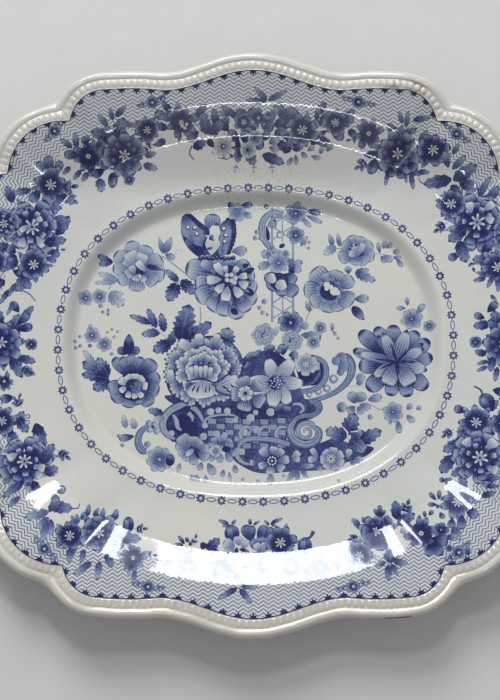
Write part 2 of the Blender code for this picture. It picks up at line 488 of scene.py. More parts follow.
def blossom(x, y, radius, turn=0.0, count=5, ink=PALE, eye=0.22):
    """A small open flower with a ringed eye."""
    ring_of_petals(x, y, 0.08 * radius, radius, count, turn, radius * 4.6 / count, ink, ROUND, 0.3,
                   jitter=0.5)
    sheet.disc(x, y, eye * radius, (0.95, 0.95, 1.0), steps=9)
    sheet.disc(x, y, eye * 0.5 * radius, (0.2, 0.2, 0.4), steps=7)


def rose(x, y, radius, turn=0.0, ink=PALE, heart=DEEP):
    """A cabbage rose: broad lapping petals, a dark fold and a curled middle."""
    rings_of_petals(
        x, y, radius, turn,
        (0.25, 1, 7, 0, 0.78, ink, ROUND, 0.5, 0.9),
        (0.1, 0.70, 6, 27, 0.66, ink, ROUND, 0.5, 0.8),
        (0.05, 0.46, 5, 8, 0.40, ink, ROUND, 0.6, 0.6),
    )
    sheet.disc(x, y, 0.17 * radius, heart, steps=9, stretch=1.5, turn=turn)
    rings_of_petals(x + 0.1 * radius, y - 0.08 * radius, radius, turn,
                    (0, 0.24, 4, 40, 0.17, PALER, ROUND, 0.0, 0.5))


STAR_INK = (0.80, 0.80, 0.82)


def star(x, y, angle):
    """A chain star: eight dark rays round a pale eye."""
    for index in range(8):
        direction = math.radians(angle + 45.0 * index)
        c, s = math.cos(direction), math.sin(direction)
        sheet.petal(x + 0.6 * c, y + 0.6 * s, x + 2.75 * c, y + 2.75 * s, 1.25, STAR_INK, STRAP, 0.0,
                    steps=3)
    sheet.disc(x, y, 1.95, STAR_INK, steps=14)
    sheet.disc(x, y, 1.0, (0.10, 0.10, 0.30), steps=10)


def link(x, y, angle):
    """A thin open oval between two chain stars."""
    sheet.disc(x, y, 1.35, (0.72, 0.72, 0.72), steps=14, stretch=2.05, turn=angle)
    sheet.disc(x, y, 0.80, (0.03, 0.03, 0.05), steps=12, stretch=2.7, turn=angle)


CHAIN_CENTRE = (1.4, -0.7)      # the transfer sits a little to the right of the well
CHAIN_OVAL = (111.6, 89.8)
CHAIN_STARS = 56
CHAIN_PHASE = 4.2


def chain():
    """Stars and links in turn along the oval where the rim starts."""
    fine = np.linspace(0.0, 2.0 * math.pi, 2000)
    radius = oval_radius(fine, CHAIN_OVAL)
    x = CHAIN_CENTRE[0] + radius * np.cos(fine)
    y = CHAIN_CENTRE[1] + radius * np.sin(fine)
    run = run_along(x, y)
    for index in range(2 * CHAIN_STARS):
        place = (CHAIN_PHASE + index * run[-1] / (2 * CHAIN_STARS)) % run[-1]
        here = np.array([np.interp(place, run, x), np.interp(place, run, y)])
        there = np.array([np.interp(place + 0.5, run, x), np.interp(place + 0.5, run, y)])
        angle = math.degrees(math.atan2(*(there - here)[::-1]))
        (star if index % 2 == 0 else link)(here[0], here[1], angle)


# --- the centre ---------------------------------------------------------------------------------
def butterfly():
    """Half-open wings with dark scalloped edges and ringed spots, over a beaded body."""
    wing = (0.50, 0.38, 0.88)
    # right: a dark scalloped edge behind the wing
    for index in range(9):
        share = index / 8
        sheet.disc(-11.6 + 1.6 * math.sin(math.pi * share) - 2.6 * share, 70.6 - 17.6 * share, 1.75, DEEP,
                   steps=9)
    sheet.patch([(-16, 71.5), (-12, 71), (-10.6, 64), (-12.2, 56), (-15.5, 51.5)], DEEP, (-15, 51, -13, 72),
                0)
    # the small middle lobe, then the white wing
    sheet.petal(-24.5, 63, -22.8, 75.4, 9.4, (0.56, 0.34, 0.85), ROUND, 0.9)
    sheet.patch([(-28.6, 51.2), (-27.4, 61), (-23.6, 68.4), (-20.2, 69.6), (-18, 62), (-18.6, 51.2)],
                (0.10, 0.02, 0.85), (-24, 51, -22, 70), 0.1)
    sheet.disc(-24, 61.4, 1.3, DARK, stretch=1.35, turn=65)
    sheet.disc(-22.9, 59.8, 0.7, BLUE, steps=8)
    sheet.disc(-24.6, 55, 0.9, BLUE, stretch=2, turn=12)
    # left wing: mid blue with a dark top and a dark lower wedge
    sheet.patch([(-40.6, 71.6), (-39.4, 75.2), (-36.2, 75.6), (-31, 71), (-25.4, 66.2), (-25.8, 62.6),
                 (-33, 66)], DEEP, (-40, 73, -26, 65), 0)
    sheet.patch([(-40.8, 73.6), (-41.6, 66), (-39.4, 58.4), (-34.6, 52.6), (-30.6, 50.4), (-28.6, 56),
                 (-27.2, 64.2), (-30.6, 66.8), (-35, 71.2), (-38, 74)], wing, (-31, 50, -38, 76), 0.3, EVEN)
    sheet.patch([(-40.2, 62), (-37.6, 55.6), (-31.6, 50.2), (-29.4, 51.6), (-29, 55.6), (-33.6, 57.4),
                 (-37, 60.4)], DARK, (-31, 50, -39, 61), 0.4)
    sheet.ribbon([(-29.4, 51), (-28.6, 56), (-26.6, 62)], [1.6, 1], DEEP)
    # right wing
    sheet.patch([(-18.6, 51), (-20.2, 54.6), (-18.8, 57.6), (-20, 61), (-18.8, 64.2), (-19.4, 68),
                 (-16.6, 71.2), (-13.2, 70.8), (-12.4, 64), (-13.2, 57), (-15.6, 51.4)], wing,
                (-17, 50, -15, 72), 0.3, EVEN)
    for x, y in ((-37.6, 67.2), (-33.6, 67), (-32.4, 63.4), (-17, 66.4), (-15.8, 62.6), (-16.4, 58.9)):
        sheet.disc(x, y, 1.5, (0.9, 0.9, 0.9), steps=10)
        sheet.disc(x + 0.15, y + 0.3, 0.95, (0.05, 0.05, 0.2), steps=8)
    petals(PALE, (-12.5, 53, -3.6, 54.4, 5.4), (-10.5, 52.4, -5.2, 51.4, 3), vein=0.5)


def butterfly_body():
    """The beaded body, which lies over the great flower's petals."""
    for index in range(9):
        sheet.disc(-30.2 + 2.35 * index, 49.3 + 0.3 * math.sin(index * 1.7), 1.45, DEEP, steps=9)
        sheet.disc(-30.2 + 2.35 * index, 49.9 + 0.3 * math.sin(index * 1.7), 0.5, PALE, steps=7)


def trellis():
    """The garden post: two uprights with crossed slats, a C-scroll and climbing flowers."""
    post = (0.36, 0.36, 0.62)
    for x in (10.8, 22.8):
        sheet.ribbon([(x, 12), (x, 46), (x, 79)], [1.3, 1.3], post)
    for low in (18, 27, 64, 73):
        sheet.ribbon([(10.8, low - 4), (22.8, low + 4)], [0.8, 0.8], post)
        sheet.ribbon([(10.8, low + 4), (22.8, low - 4)], [0.8, 0.8], post)
        sheet.ribbon([(16.8, low - 5), (16.8, low + 5)], [0.7, 0.7], post)
    sheet.ribbon([(17.5, 75), (12, 76.2), (6.6, 72.5), (4.8, 66), (6.6, 59.5), (11.5, 54), (17.5, 49.5),
                  (21.5, 45), (22.6, 40.5)], [2.2, 3.2, 3.9, 3.9, 3.6, 3.4, 3.2, 3, 1.4],
                 (0.28, 0.34, 0.95), vein=0.5)
    sheet.petal(9, 59.5, 7.6, 68.5, 2.2, DEEP, POINTED, 0)
    sheet.ribbon([(16.5, 74), (12, 72.8), (9, 68.5), (12.5, 68), (13, 70.8)], [2.2, 1.8, 1.2], PALE)
    sheet.disc(12.4, 71.2, 0.8, DARK, steps=8)
    sheet.disc(15.4, 63, 2.2, PALE)
    sheet.disc(15.2, 62.8, 1.2, (0.05, 0.05, 0.3), steps=9)
    sheet.disc(16.5, 56.5, 1.3, DEEP, stretch=1.4, turn=30)
    discs(PALE, (2.2, 64.5, 1.5), (1.2, 61, 1.5), (4.4, 61, 1.5))
    blossom(24.5, 75.5, 6.4, 20, 6, (0.70, 0.30, 0.85))
    blossom(24.5, 62.6, 5.4, 30, 5, (0.70, 0.30, 0.85), 0.26)
    sheet.petal(27, 56, 31, 62, 3, PALE)
    discs(GREY, (29.6, 57.6, 1), (32, 58.6, 1), (31.6, 55.2, 1))
    petals(PALE, (28, 73, 33, 67.5, 3.4), (30, 74.5, 39.5, 70, 3.2), vein=0.35)
    sheet.petal(31, 77, 38.5, 75.5, 4, MID, ROUND, 0.5, 0.1)
    # the climbing flowers half way down
    petals(PALE, (10, 49, 5.5, 53.5, 5.5), (11, 47, 3.2, 43.6, 5), (14, 50, 14, 54.5, 5),
           (20, 44, 28, 47, 5), (20, 43, 27.5, 42.3, 4.2), vein=0.5, frill=0.08)
    blossom(14.5, 46.5, 6.4, 10, 7, PALE)
    for x, y, size in ((8.6, 51.6, 2.6), (18.6, 52, 2.4), (10.4, 55.4, 2.2), (20.4, 47.6, 2.2)):
        blossom(x, y, size, 20, 5, PALE, 0.3)
    sheet.petal(21.5, 37, 22.3, 49.5, 3.4, DARK, POINTED, 0)
    sheet.petal(15, 40, 6.6, 36, 7.5, MID, ROUND, 0.5)
    sheet.petal(14, 38, 9.5, 30.5, 8, BLUE, ROUND, 0.5)
    petals(MID, (16, 37, 24.6, 27.5, 9), (16, 36, 16.5, 26.8, 7), (17, 40, 25, 36, 6), vein=0.6)
    sheet.disc(15, 35.5, 5.4, DEEP)
    sheet.disc(10.6, 37.6, 3.3, WHITE, stretch=0.8, turn=20)
    sheet.disc(16, 33.6, 3.4, WHITE, stretch=1, turn=20)
    # dots and sprays to its left, leaf to its right
    discs(PALE, (6.4, 24, 1.7), (3.6, 20.5, 1.4), (5.4, 17.6, 1.4), (8, 16.5, 1))
    sheet.petal(32.5, 18, 30, 24.5, 3.2, PALE, POINTED)
    sheet.ribbon([(29, 9), (31, 16), (34, 20)], [0.5, 0.5], GREY)
    # the bank of flowers at its foot
    blossom(21.3, 11.8, 7.4, 12, 7, MID, 0.2)
    rose(6, 4.6, 6.8, 30, PALE, DARK)
    rose(22, 1.4, 6.4, 10, PALE, DARK)
    sheet.petal(26, 9, 31.5, 10.5, 4.5, PALE)
    sheet.petal(27, 5, 38.5, 3.2, 6, PALE, ROUND, 0.4, 0.08)
    blossom(34.2, 0.4, 4.2, 20, 6, PALE, 0.3)
    blossom(38.2, 8.8, 4, 40, 5, PALE, 0.3)
    petals(PALE, (45, 6.5, 45, 11.5, 2.2), (45.5, 7, 47.2, 4.2, 2.2), vein=0.35)
    sheet.disc(48.3, 2.9, 1, PALE)
    sheet.petal(12.5, 4, 14.2, 12, 3, WHITE, POINTED, 0.2)


def pale_rose():
    """The pale rose at upper left with its sprays."""
    petals(PALE, (-66, 45, -70.5, 59.5, 9.5), (-64, 46, -60.5, 56.8, 9.5), (-66, 44, -79.5, 52, 9.5),
           (-67, 43, -80.5, 43, 8.5), (-66, 40, -77.5, 35.5, 8), (-63, 43, -52, 49.5, 10.5),
           (-62, 41, -50.2, 40, 10.5), (-62, 40, -55, 34.5, 9), (-66, 38, -66.5, 29.8, 9.5),
           (-66, 45, -75, 48.5, 6.5), (-67, 43, -73, 39, 6.5), vein=0.5)
    petals(PALER, (-66, 44, -71.5, 53.5, 9), (-66, 44, -62.5, 52.5, 7.5), vein=0.3)
    sheet.petal(-61, 44.8, -51, 42.2, 3.2, DARK, SPEAR, 0.4)
    sheet.disc(-67.4, 42.4, 2.9, DEEP, stretch=1.3, turn=-20)
    sheet.disc(-62.2, 40.2, 2.2, DARK, stretch=1.4, turn=-40)
    sheet.petal(-61.5, 41.5, -66.8, 48, 4.6, WHITE, ROUND, 0.2)
    sheet.petal(-67.5, 40, -70, 45.2, 4.4, PALER, ROUND, 0.4)
    petals(PALER, (-66, 40, -67.5, 35.8, 4.4), (-63.5, 39.5, -62.2, 35.6, 3.6), vein=0.3)
    petals(MID, (-80, 47.2, -88.5, 50, 4), (-80, 46.8, -87.8, 45.6, 3.8), vein=0.4, frill=0.1)
    leaves(PALE, (-77.5, 36.5, -88.6, 40.6, 5.2), (-77.5, 35.8, -90.5, 34.8, 4), teeth=4, depth=0.24)
    sheet.ribbon([(-76.5, 37), (-80.5, 34.5), (-82.5, 31)], [0.5, 0.5], GREY)
    blossom(-87.6, 27, 4.6, 30, 5, PALE, 0.3)
    blossom(-95.4, 26, 4.6, 10, 5, PALE, 0.3)
    leaves(PALE, (-82.5, 28.4, -73.6, 21.6, 9), (-82.5, 28.4, -74, 28.6, 5), depth=0.3)
    discs(PALE, (-86.8, 21.6, 1.5), (-85.6, 18, 1.1), (-82.5, 19, 1.1), (-82.5, 16.8, 1.1),
          (-82.8, 6.2, 0.9), (-80.2, 8, 0.9), (-77, 6.6, 0.9), (-79, 3.6, 1), steps=9)
    blossom(-91.6, 4.6, 4.8, 60, 6, PALE, 0.3)
    sheet.petal(-92, 7.5, -93, 11, 2.6, PALE)
    blossom(-84.4, -0.6, 4.6, 20, 6, PALE, 0.3)
    sheet.disc(-92.6, -1.4, 1.2, MID)
    discs(PALE, (-101, 0.8, 1.15), (-98.4, 3.8, 1.15), (-100.6, -2.8, 1.15), (-98.2, -1.6, 1.15),
          (-80.2, -6.2, 1.15), (-77.8, -8.6, 1.15), steps=9)
    # spray to the right of the rose
    petals(PALE, (-51.5, 52, -54, 61.5, 3.2), (-51, 52, -46.8, 61.5, 5), form=POINTED, vein=0.35)
    sheet.petal(-50.5, 51.6, -44.8, 49.2, 4.2, PALE)
    sheet.ribbon([(-52, 50.5), (-47, 47), (-41.5, 42.5), (-36.5, 38.5), (-33, 37)], [0.7, 0.6], GREY)
    sheet.ribbon([(-40, 53.2), (-43, 54.3), (-44.6, 52.8), (-43.4, 51.6)], [0.5, 0.4], (0.2, 0.2, 0.3))
    # dark trefoil
    sheet.leaf(-42.6, 35.6, -50, 42.6, 5.2, BLUE)
    leaves(DARK, (-43.2, 35, -48.6, 24, 9.2), (-41.2, 36.6, -33.2, 28.4, 8), teeth=4, depth=0.24)
    sheet.petal(-44, 33.6, -41.2, 36.6, 1, WHITE, STRAP, 0)


def great_flower():
    """The large flower under the butterfly: folded petals, a dark hollow and a pale rosette."""
    sheet.disc(-14.5, 34.5, 13, BLUE, steps=20)
    petals((0.86, 0.18, 0.85), (-18, 40, -38.8, 43.8, 13.5), (-18, 42, -29.8, 49, 9.5),
           (-17, 43, -20.8, 50.4, 8.6), (-13, 42, -12.6, 49.6, 8), (-11, 40, -2.2, 46.8, 9.6),
           (-8, 38, 1.2, 39, 7), (-8, 34, 2.4, 31.6, 9), (-10, 31, 1.8, 23.6, 9.5),
           (-19, 35, -33.6, 34, 11.5), (-18, 33, -32.6, 25.4, 12), (-16, 30, -24.6, 18.8, 11),
           (-14, 29, -17.6, 15.4, 10), (-12, 28, -8.4, 13.6, 9.8), (-10, 30, -2.6, 18.2, 8.5), vein=0.6)
    petals(DEEP, (-5.6, 40, 0.6, 43.4, 3.6), (-5, 38, -1.6, 33.4, 3.8), (-5, 31, 0.4, 28.2, 4.2),
           (-12.6, 20, -8.8, 16.6, 3.6), (-6.6, 44, -2.6, 45.6, 3), form=OVAL, vein=0)
    ring_of_petals(-13.6, 35.6, 3, 13.2, 21, 8, 2.6, (1.1, 0.5, 0.5), POINTED, 0, jitter=0.9)
    sheet.disc(-13.4, 35.8, 9.4, DEEP, steps=20)
    petals(WHITE, (-17.2, 39, -21.8, 47, 5), (-17.8, 37, -27.2, 36.4, 5.6), (-16.4, 34.6, -21.4, 29.4, 5),
           (-14.6, 33, -16, 23.8, 6.2), (-11.2, 33, -6.6, 26.6, 5.6), (-8.6, 35.6, -2.8, 32.6, 5.2),
           (-9, 38, -3, 39.4, 4.2), (-11.6, 40, -8.6, 44.6, 3.8), (-15.2, 40.4, -16.2, 45.2, 3.2),
           vein=0.25)
    sheet.disc(-12.6, 37, 4.2, BLUE)
    discs((0.16, 0.06, 0.95), (-15, 39.4, 1.4), (-12.4, 39.6, 1.4), (-10, 37.8, 1.4), (-12.2, 36.2, 1.4),
          (-14.8, 36.6, 1.4), (-10.6, 35.2, 1.4), steps=9)
    sheet.ribbon([(-31, 9.5), (-29.8, 15), (-30.2, 21)], [0.6, 0.5], GREY)


def dark_leaves():
    """The tall serrated leaves behind the chrysanthemum, and the bud at their left."""
    leaves(BLUE, (-57.5, 11.2, -70.6, 16.2, 4.6), (-55, 8.8, -60.2, 20.2, 5.2),
           (-50.5, 6.5, -52.6, 17.6, 5.4), (-52.5, 6.6, -63.6, 5, 5.8), teeth=4, depth=0.18)
    sheet.ribbon([(-60.5, 10.8), (-55, 8.2), (-49.5, 3.2)], [0.5, 1], (0.1, 0.1, 0.4))
    leaves(DARK, (-46.5, 0.5, -57, -4.6, 9), (-47.5, -1.5, -44.5, 7.5, 6), teeth=4, depth=0.24)
    sheet.leaf(-41.5, 1, -36.4, 22.6, 13.5, DARK, 6, 0.26)
    sheet.leaf(-37.5, 1.2, -23.6, 12.2, 9.2, DARK, 5)
    sheet.leaf(-16.5, -2.5, -14.2, 9.2, 11.5, BLUE, 4)
    for angle, x1, y1, w in ((0, -70.6, 5.4, 6.2), (1, -77, -3.4, 5), (2, -64.4, -3.2, 5)):
        sheet.petal(-70.6, -6.6 + 0.5 * (angle > 0), x1, y1, w, DARK, POINTED if angle == 0 else ROUND, 0.3)
    petals(DEEP, (-70.8, -6, -72.6, 1, 3.4), (-70.4, -6, -68.6, 0.6, 3.2), form=POINTED, vein=0)


def left_flower():
    """The flower at lower left, with a fan of petals over a white collar."""
    sheet.leaf(-81.5, -19.5, -97, -10.5, 10.5, DARK)
    sheet.leaf(-81.5, -18.5, -88.5, -8.2, 7.5, BLUE)
    leaves(DARK, (-81.5, -20.5, -90.5, -26.8, 9.5), (-82, -20, -97.5, -17.8, 7), teeth=4, depth=0.24)
    sheet.leaf(-89.5, -13, -96.5, -4, 5, PALE)
    petals(MID, (-69, -20, -79.5, -8.6, 7), (-69, -20, -74.5, -7.6, 6), (-68, -20, -69.5, -5.8, 6.2),
           (-67, -20, -63.6, -7.6, 6.4), vein=0.7)
    petals(MID, (-64, -20, -56.2, -9.6, 9.5), (-62, -23, -52.8, -18.6, 8), (-62, -25, -53, -27.5, 9),
           (-63, -27, -58, -36, 8.5), (-67, -28, -65, -35.5, 7), (-69, -28, -71.4, -37, 9),
           (-71, -26, -79.8, -32.8, 9), (-71, -23, -82.4, -26.5, 8.5), vein=0.6)
    sheet.disc(-67.5, -24.5, 8.8, DEEP, stretch=1.04)
    petals(WHITE, (-71, -24, -76, -20.2, 5), (-69, -22, -72, -18.2, 5), (-67, -21.5, -66.8, -17.2, 5.4),
           (-65, -22, -61.8, -19.4, 5), (-64, -24, -59.4, -24.8, 5), (-66, -27, -62.2, -31.2, 3.6),
           (-68, -27.5, -66.6, -32, 3.4), (-70, -27, -71, -31.6, 3.6), (-71.5, -25, -75.6, -27.8, 3.8),
           vein=0.2)
    sheet.disc(-67.4, -24.6, 4.2, DARK, stretch=1.2, turn=-20)
    discs(BLUE, (-69.4, -24.8, 0.8), (-66.8, -23.6, 0.8), (-65.4, -26.4, 0.8), (-68.2, -27, 0.8), steps=7)


def frilled_fan(x, y, turn, length, spread, fingers, width, ink):
    """A petal cut into fingers, which spread like a fan from its base."""
    c, s = math.cos(math.radians(turn)), math.sin(math.radians(turn))
    sheet.petal(x, y, x + c * length * 0.8, y + s * length * 0.8, width * fingers * 0.62, ink, ROUND, 0.2)
    for index in range(fingers):
        lean = turn + spread * (index / (fingers - 1) - 0.5) + rng.uniform(-3, 3)
        reach = length * (1 - 0.16 * abs(2 * index / (fingers - 1) - 1)) * rng.uniform(0.92, 1.06)
        a = math.radians(lean)
        sheet.petal(x + 0.1 * reach * math.cos(a), y + 0.1 * reach * math.sin(a), x + reach * math.cos(a),
                    y + reach * math.sin(a), width, ink, ROUND, 0.2)


def chrysanthemum():
    """The big white chrysanthemum: fans of white fingers round a dark hollow."""
    x, y = -28.5, -16
    white = (0.62, 0, 1.05)
    sheet.patch([(-47, -10), (-42, 0), (-30, 4), (-16, 3), (-7, -6), (-6, -18), (-12, -30), (-26, -37),
                 (-42, -33), (-49, -24)], BLUE, (-28, -38, -28, 4), 0)
    for turn in range(0, 360, 30):
        a = math.radians(turn + 6)
        frilled_fan(x + 12.5 * math.cos(a), y + 10.5 * math.sin(a), turn + 6, 11.4, 84, 6, 2.5,
                    (0.84, 0.10, 1.10))
    for turn in range(15, 375, 36):
        a = math.radians(turn)
        frilled_fan(x + 7.5 * math.cos(a), y + 6.5 * math.sin(a), turn, 9.6, 70, 5, 2.7, white)
    for turn in range(0, 360, 45):
        a = math.radians(turn)
        frilled_fan(x + 3.2 * math.cos(a), y + 1 + 2.8 * math.sin(a), turn, 8.4, 58, 4, 2.7, white)
    # large petals folded over at the top, left and lower right
    petals(WHITE, (-35, -3.5, -42.6, 1.6, 6.4), (-30, -1, -31.4, 6, 5.6), (-46.4, -23.6, -47.2, -14.4, 4.8),
           (-21, 0, -20.4, 5.8, 4.6), form=OVAL, vein=0.4)
    sheet.patch([(-38.4, -24), (-33, -22.4), (-26, -22.6), (-20.6, -24.6), (-22, -29.4), (-29, -31.6),
                 (-36, -30.4)], WHITE, (-29, -21, -29, -33), 0.3)
    sheet.patch([(-21.4, -27.6), (-20.4, -23.6), (-14.6, -19.4), (-9, -19), (-7.4, -23.6), (-9.4, -28.6),
                 (-14.6, -30.4)], WHITE, (-21, -26, -7, -22), 0.5)
    for px, py, turn in ((-34.6, -27.6, 62), (-32, -28.2, 70), (-27, -28.4, 84), (-24.6, -27.6, 95),
                         (-15.2, -26.6, -36), (-13, -23.6, -40), (-17.4, -24.6, -30)):
        sheet.petal(px, py, px + 4.2 * math.cos(math.radians(turn)),
                    py + 4.2 * math.sin(math.radians(turn)), 0.95,
                    DEEP, SPEAR, 0)
    sheet.ribbon([(-37.6, -21.6), (-29, -20.4), (-21, -22.6), (-15, -18.4), (-9.4, -17.6)],
                 [0.6, 1.2, 0.8, 0.9, 0.4], DEEP)
    # the hollow and the petals that stand up in front of it
    sheet.disc(-29.4, -13.6, 3.4, DEEP, stretch=2, turn=8)
    for x1, y1 in ((-36.4, -12.6), (-33.2, -10.6), (-29.6, -9.8), (-25.8, -9.6), (-22.6, -11.4)):
        sheet.petal(x1 * 0.35 - 19, -15.4 + 0.35 * (y1 + 12), x1, y1, 2.6, (0.9, 0.5, 1), POINTED, 0)
    petals(WHITE, (-34.6, -19.6, -35.6, -13.2, 2.9), (-32.2, -19.6, -32.6, -12.2, 2.9),
           (-29.8, -19.6, -29.8, -12.8, 2.9), (-27.2, -19.6, -26.8, -12.2, 2.9),
           (-24.8, -19.6, -23.8, -13.4, 2.9), vein=0.2)


def lily():
    """The white lily with a stippled heart, and the small flower beside it."""
    points = ((8.6, -14.5, 8, -8, 8.4), (19, -14, 23.4, -8.6, 9.2), (22.5, -20.5, 29.4, -23.2, 8.6),
              (19.5, -28.5, 21.2, -35.4, 8.4), (10.2, -29.5, 10.8, -37.4, 9.2),
              (4, -26.5, -1.2, -29.2, 7.4), (4, -20.6, -3.8, -21.6, 8.6))
    for _, _, x1, y1, w in points:
        dx, dy = x1 - 12.8, y1 + 22.6
        sheet.petal(12.8 + 0.10 * dx, -22.6 + 0.10 * dy, x1, y1, w, (0.34, 0, 0.95), TAPERED, 0.30, 0, 9)
    for _, _, x1, y1, _ in points:
        dx, dy = x1 - 12.8, y1 + 22.6
        sheet.petal(12.8, -22.6, 12.8 + 0.56 * dx, -22.6 + 0.56 * dy, 1.8, (0.9, 0.2, 0.2), SPEAR, 0.4)
    sheet.disc(12.8, -22.6, 4.3, DARK)
    for index in range(14):
        angle, reach = index * 2.4, 0.95 * math.sqrt(index + 0.6)
        sheet.disc(12.8 + reach * math.cos(angle), -22.6 + reach * math.sin(angle), 0.5,
                   (0.1, 0.1, 0.2), steps=7)
    ring_of_petals(-3, -29, 2.5, 10.5, 5, 255, 8.6, PALE, ROUND, 0.9, 0.5)
    ring_of_petals(-4.4, -28.8, 0.8, 4.4, 6, 10, 3.4, WHITE, ROUND, 0.1)
    sheet.disc(-4.4, -28.8, 1.1, DEEP, steps=9)


def lotus():
    """The water lily at right: upright and drooping petals meeting in a dark cleft."""
    back = (1, 0.30, 1.05)
    petals(back, (80, -8, 69.6, 9.4, 8.4), (80, -8, 79.6, 10.8, 9.2), (83, -8, 93.6, 7, 8.6),
           (76, -8, 60.4, 7, 9.2), (76, -12, 56.6, -3.8, 6.4), (76, -13, 59.6, -13, 9.4),
           (78, -14, 64.6, -27, 10), (81, -16, 77.2, -30.4, 8.4), (84, -16, 87.6, -31, 8.6),
           (84, -12, 100, 2, 9), (84, -12, 101.8, -8, 8.6), (84, -13, 98.4, -26.4, 9.4), vein=0.6)
    petals(DARK, (81, -11, 70.6, 4.6, 5.6), (82, -11, 96.6, 0, 6), form=LANCE, vein=0.4)
    front = (0.56, 0.10, 1.05)
    petals(front, (81, -10.6, 58.6, -5.6, 5.8), (81, -10.4, 73.6, 6.2, 7.8), (81.4, -10.4, 87.6, 8, 9.2),
           (82, -10.6, 97, -3, 7.4), (82, -11.4, 98.8, -15.6, 9.4), (80, -11.6, 67.4, -19.4, 6.6),
           form=TAPERED, vein=0.8)
    petals(front, (80.6, -11.6, 75.4, -24.8, 9.6), (82.6, -11.8, 89.8, -24.6, 10.6), vein=0.7)
    sheet.petal(81.4, -9.6, 82, -19, 2.6, DEEP, POINTED, 0)
    petals(DEEP, (81.4, -10.6, 94.6, -10.8, 1.5), (81.4, -10.6, 67.6, -8.8, 1.5),
           (81.4, -10.6, 78, 0.4, 1.5), (81.4, -10.6, 91.4, -0.6, 1.5), (81.4, -10.6, 71, -15, 1.5),
           form=SPEAR, vein=0)


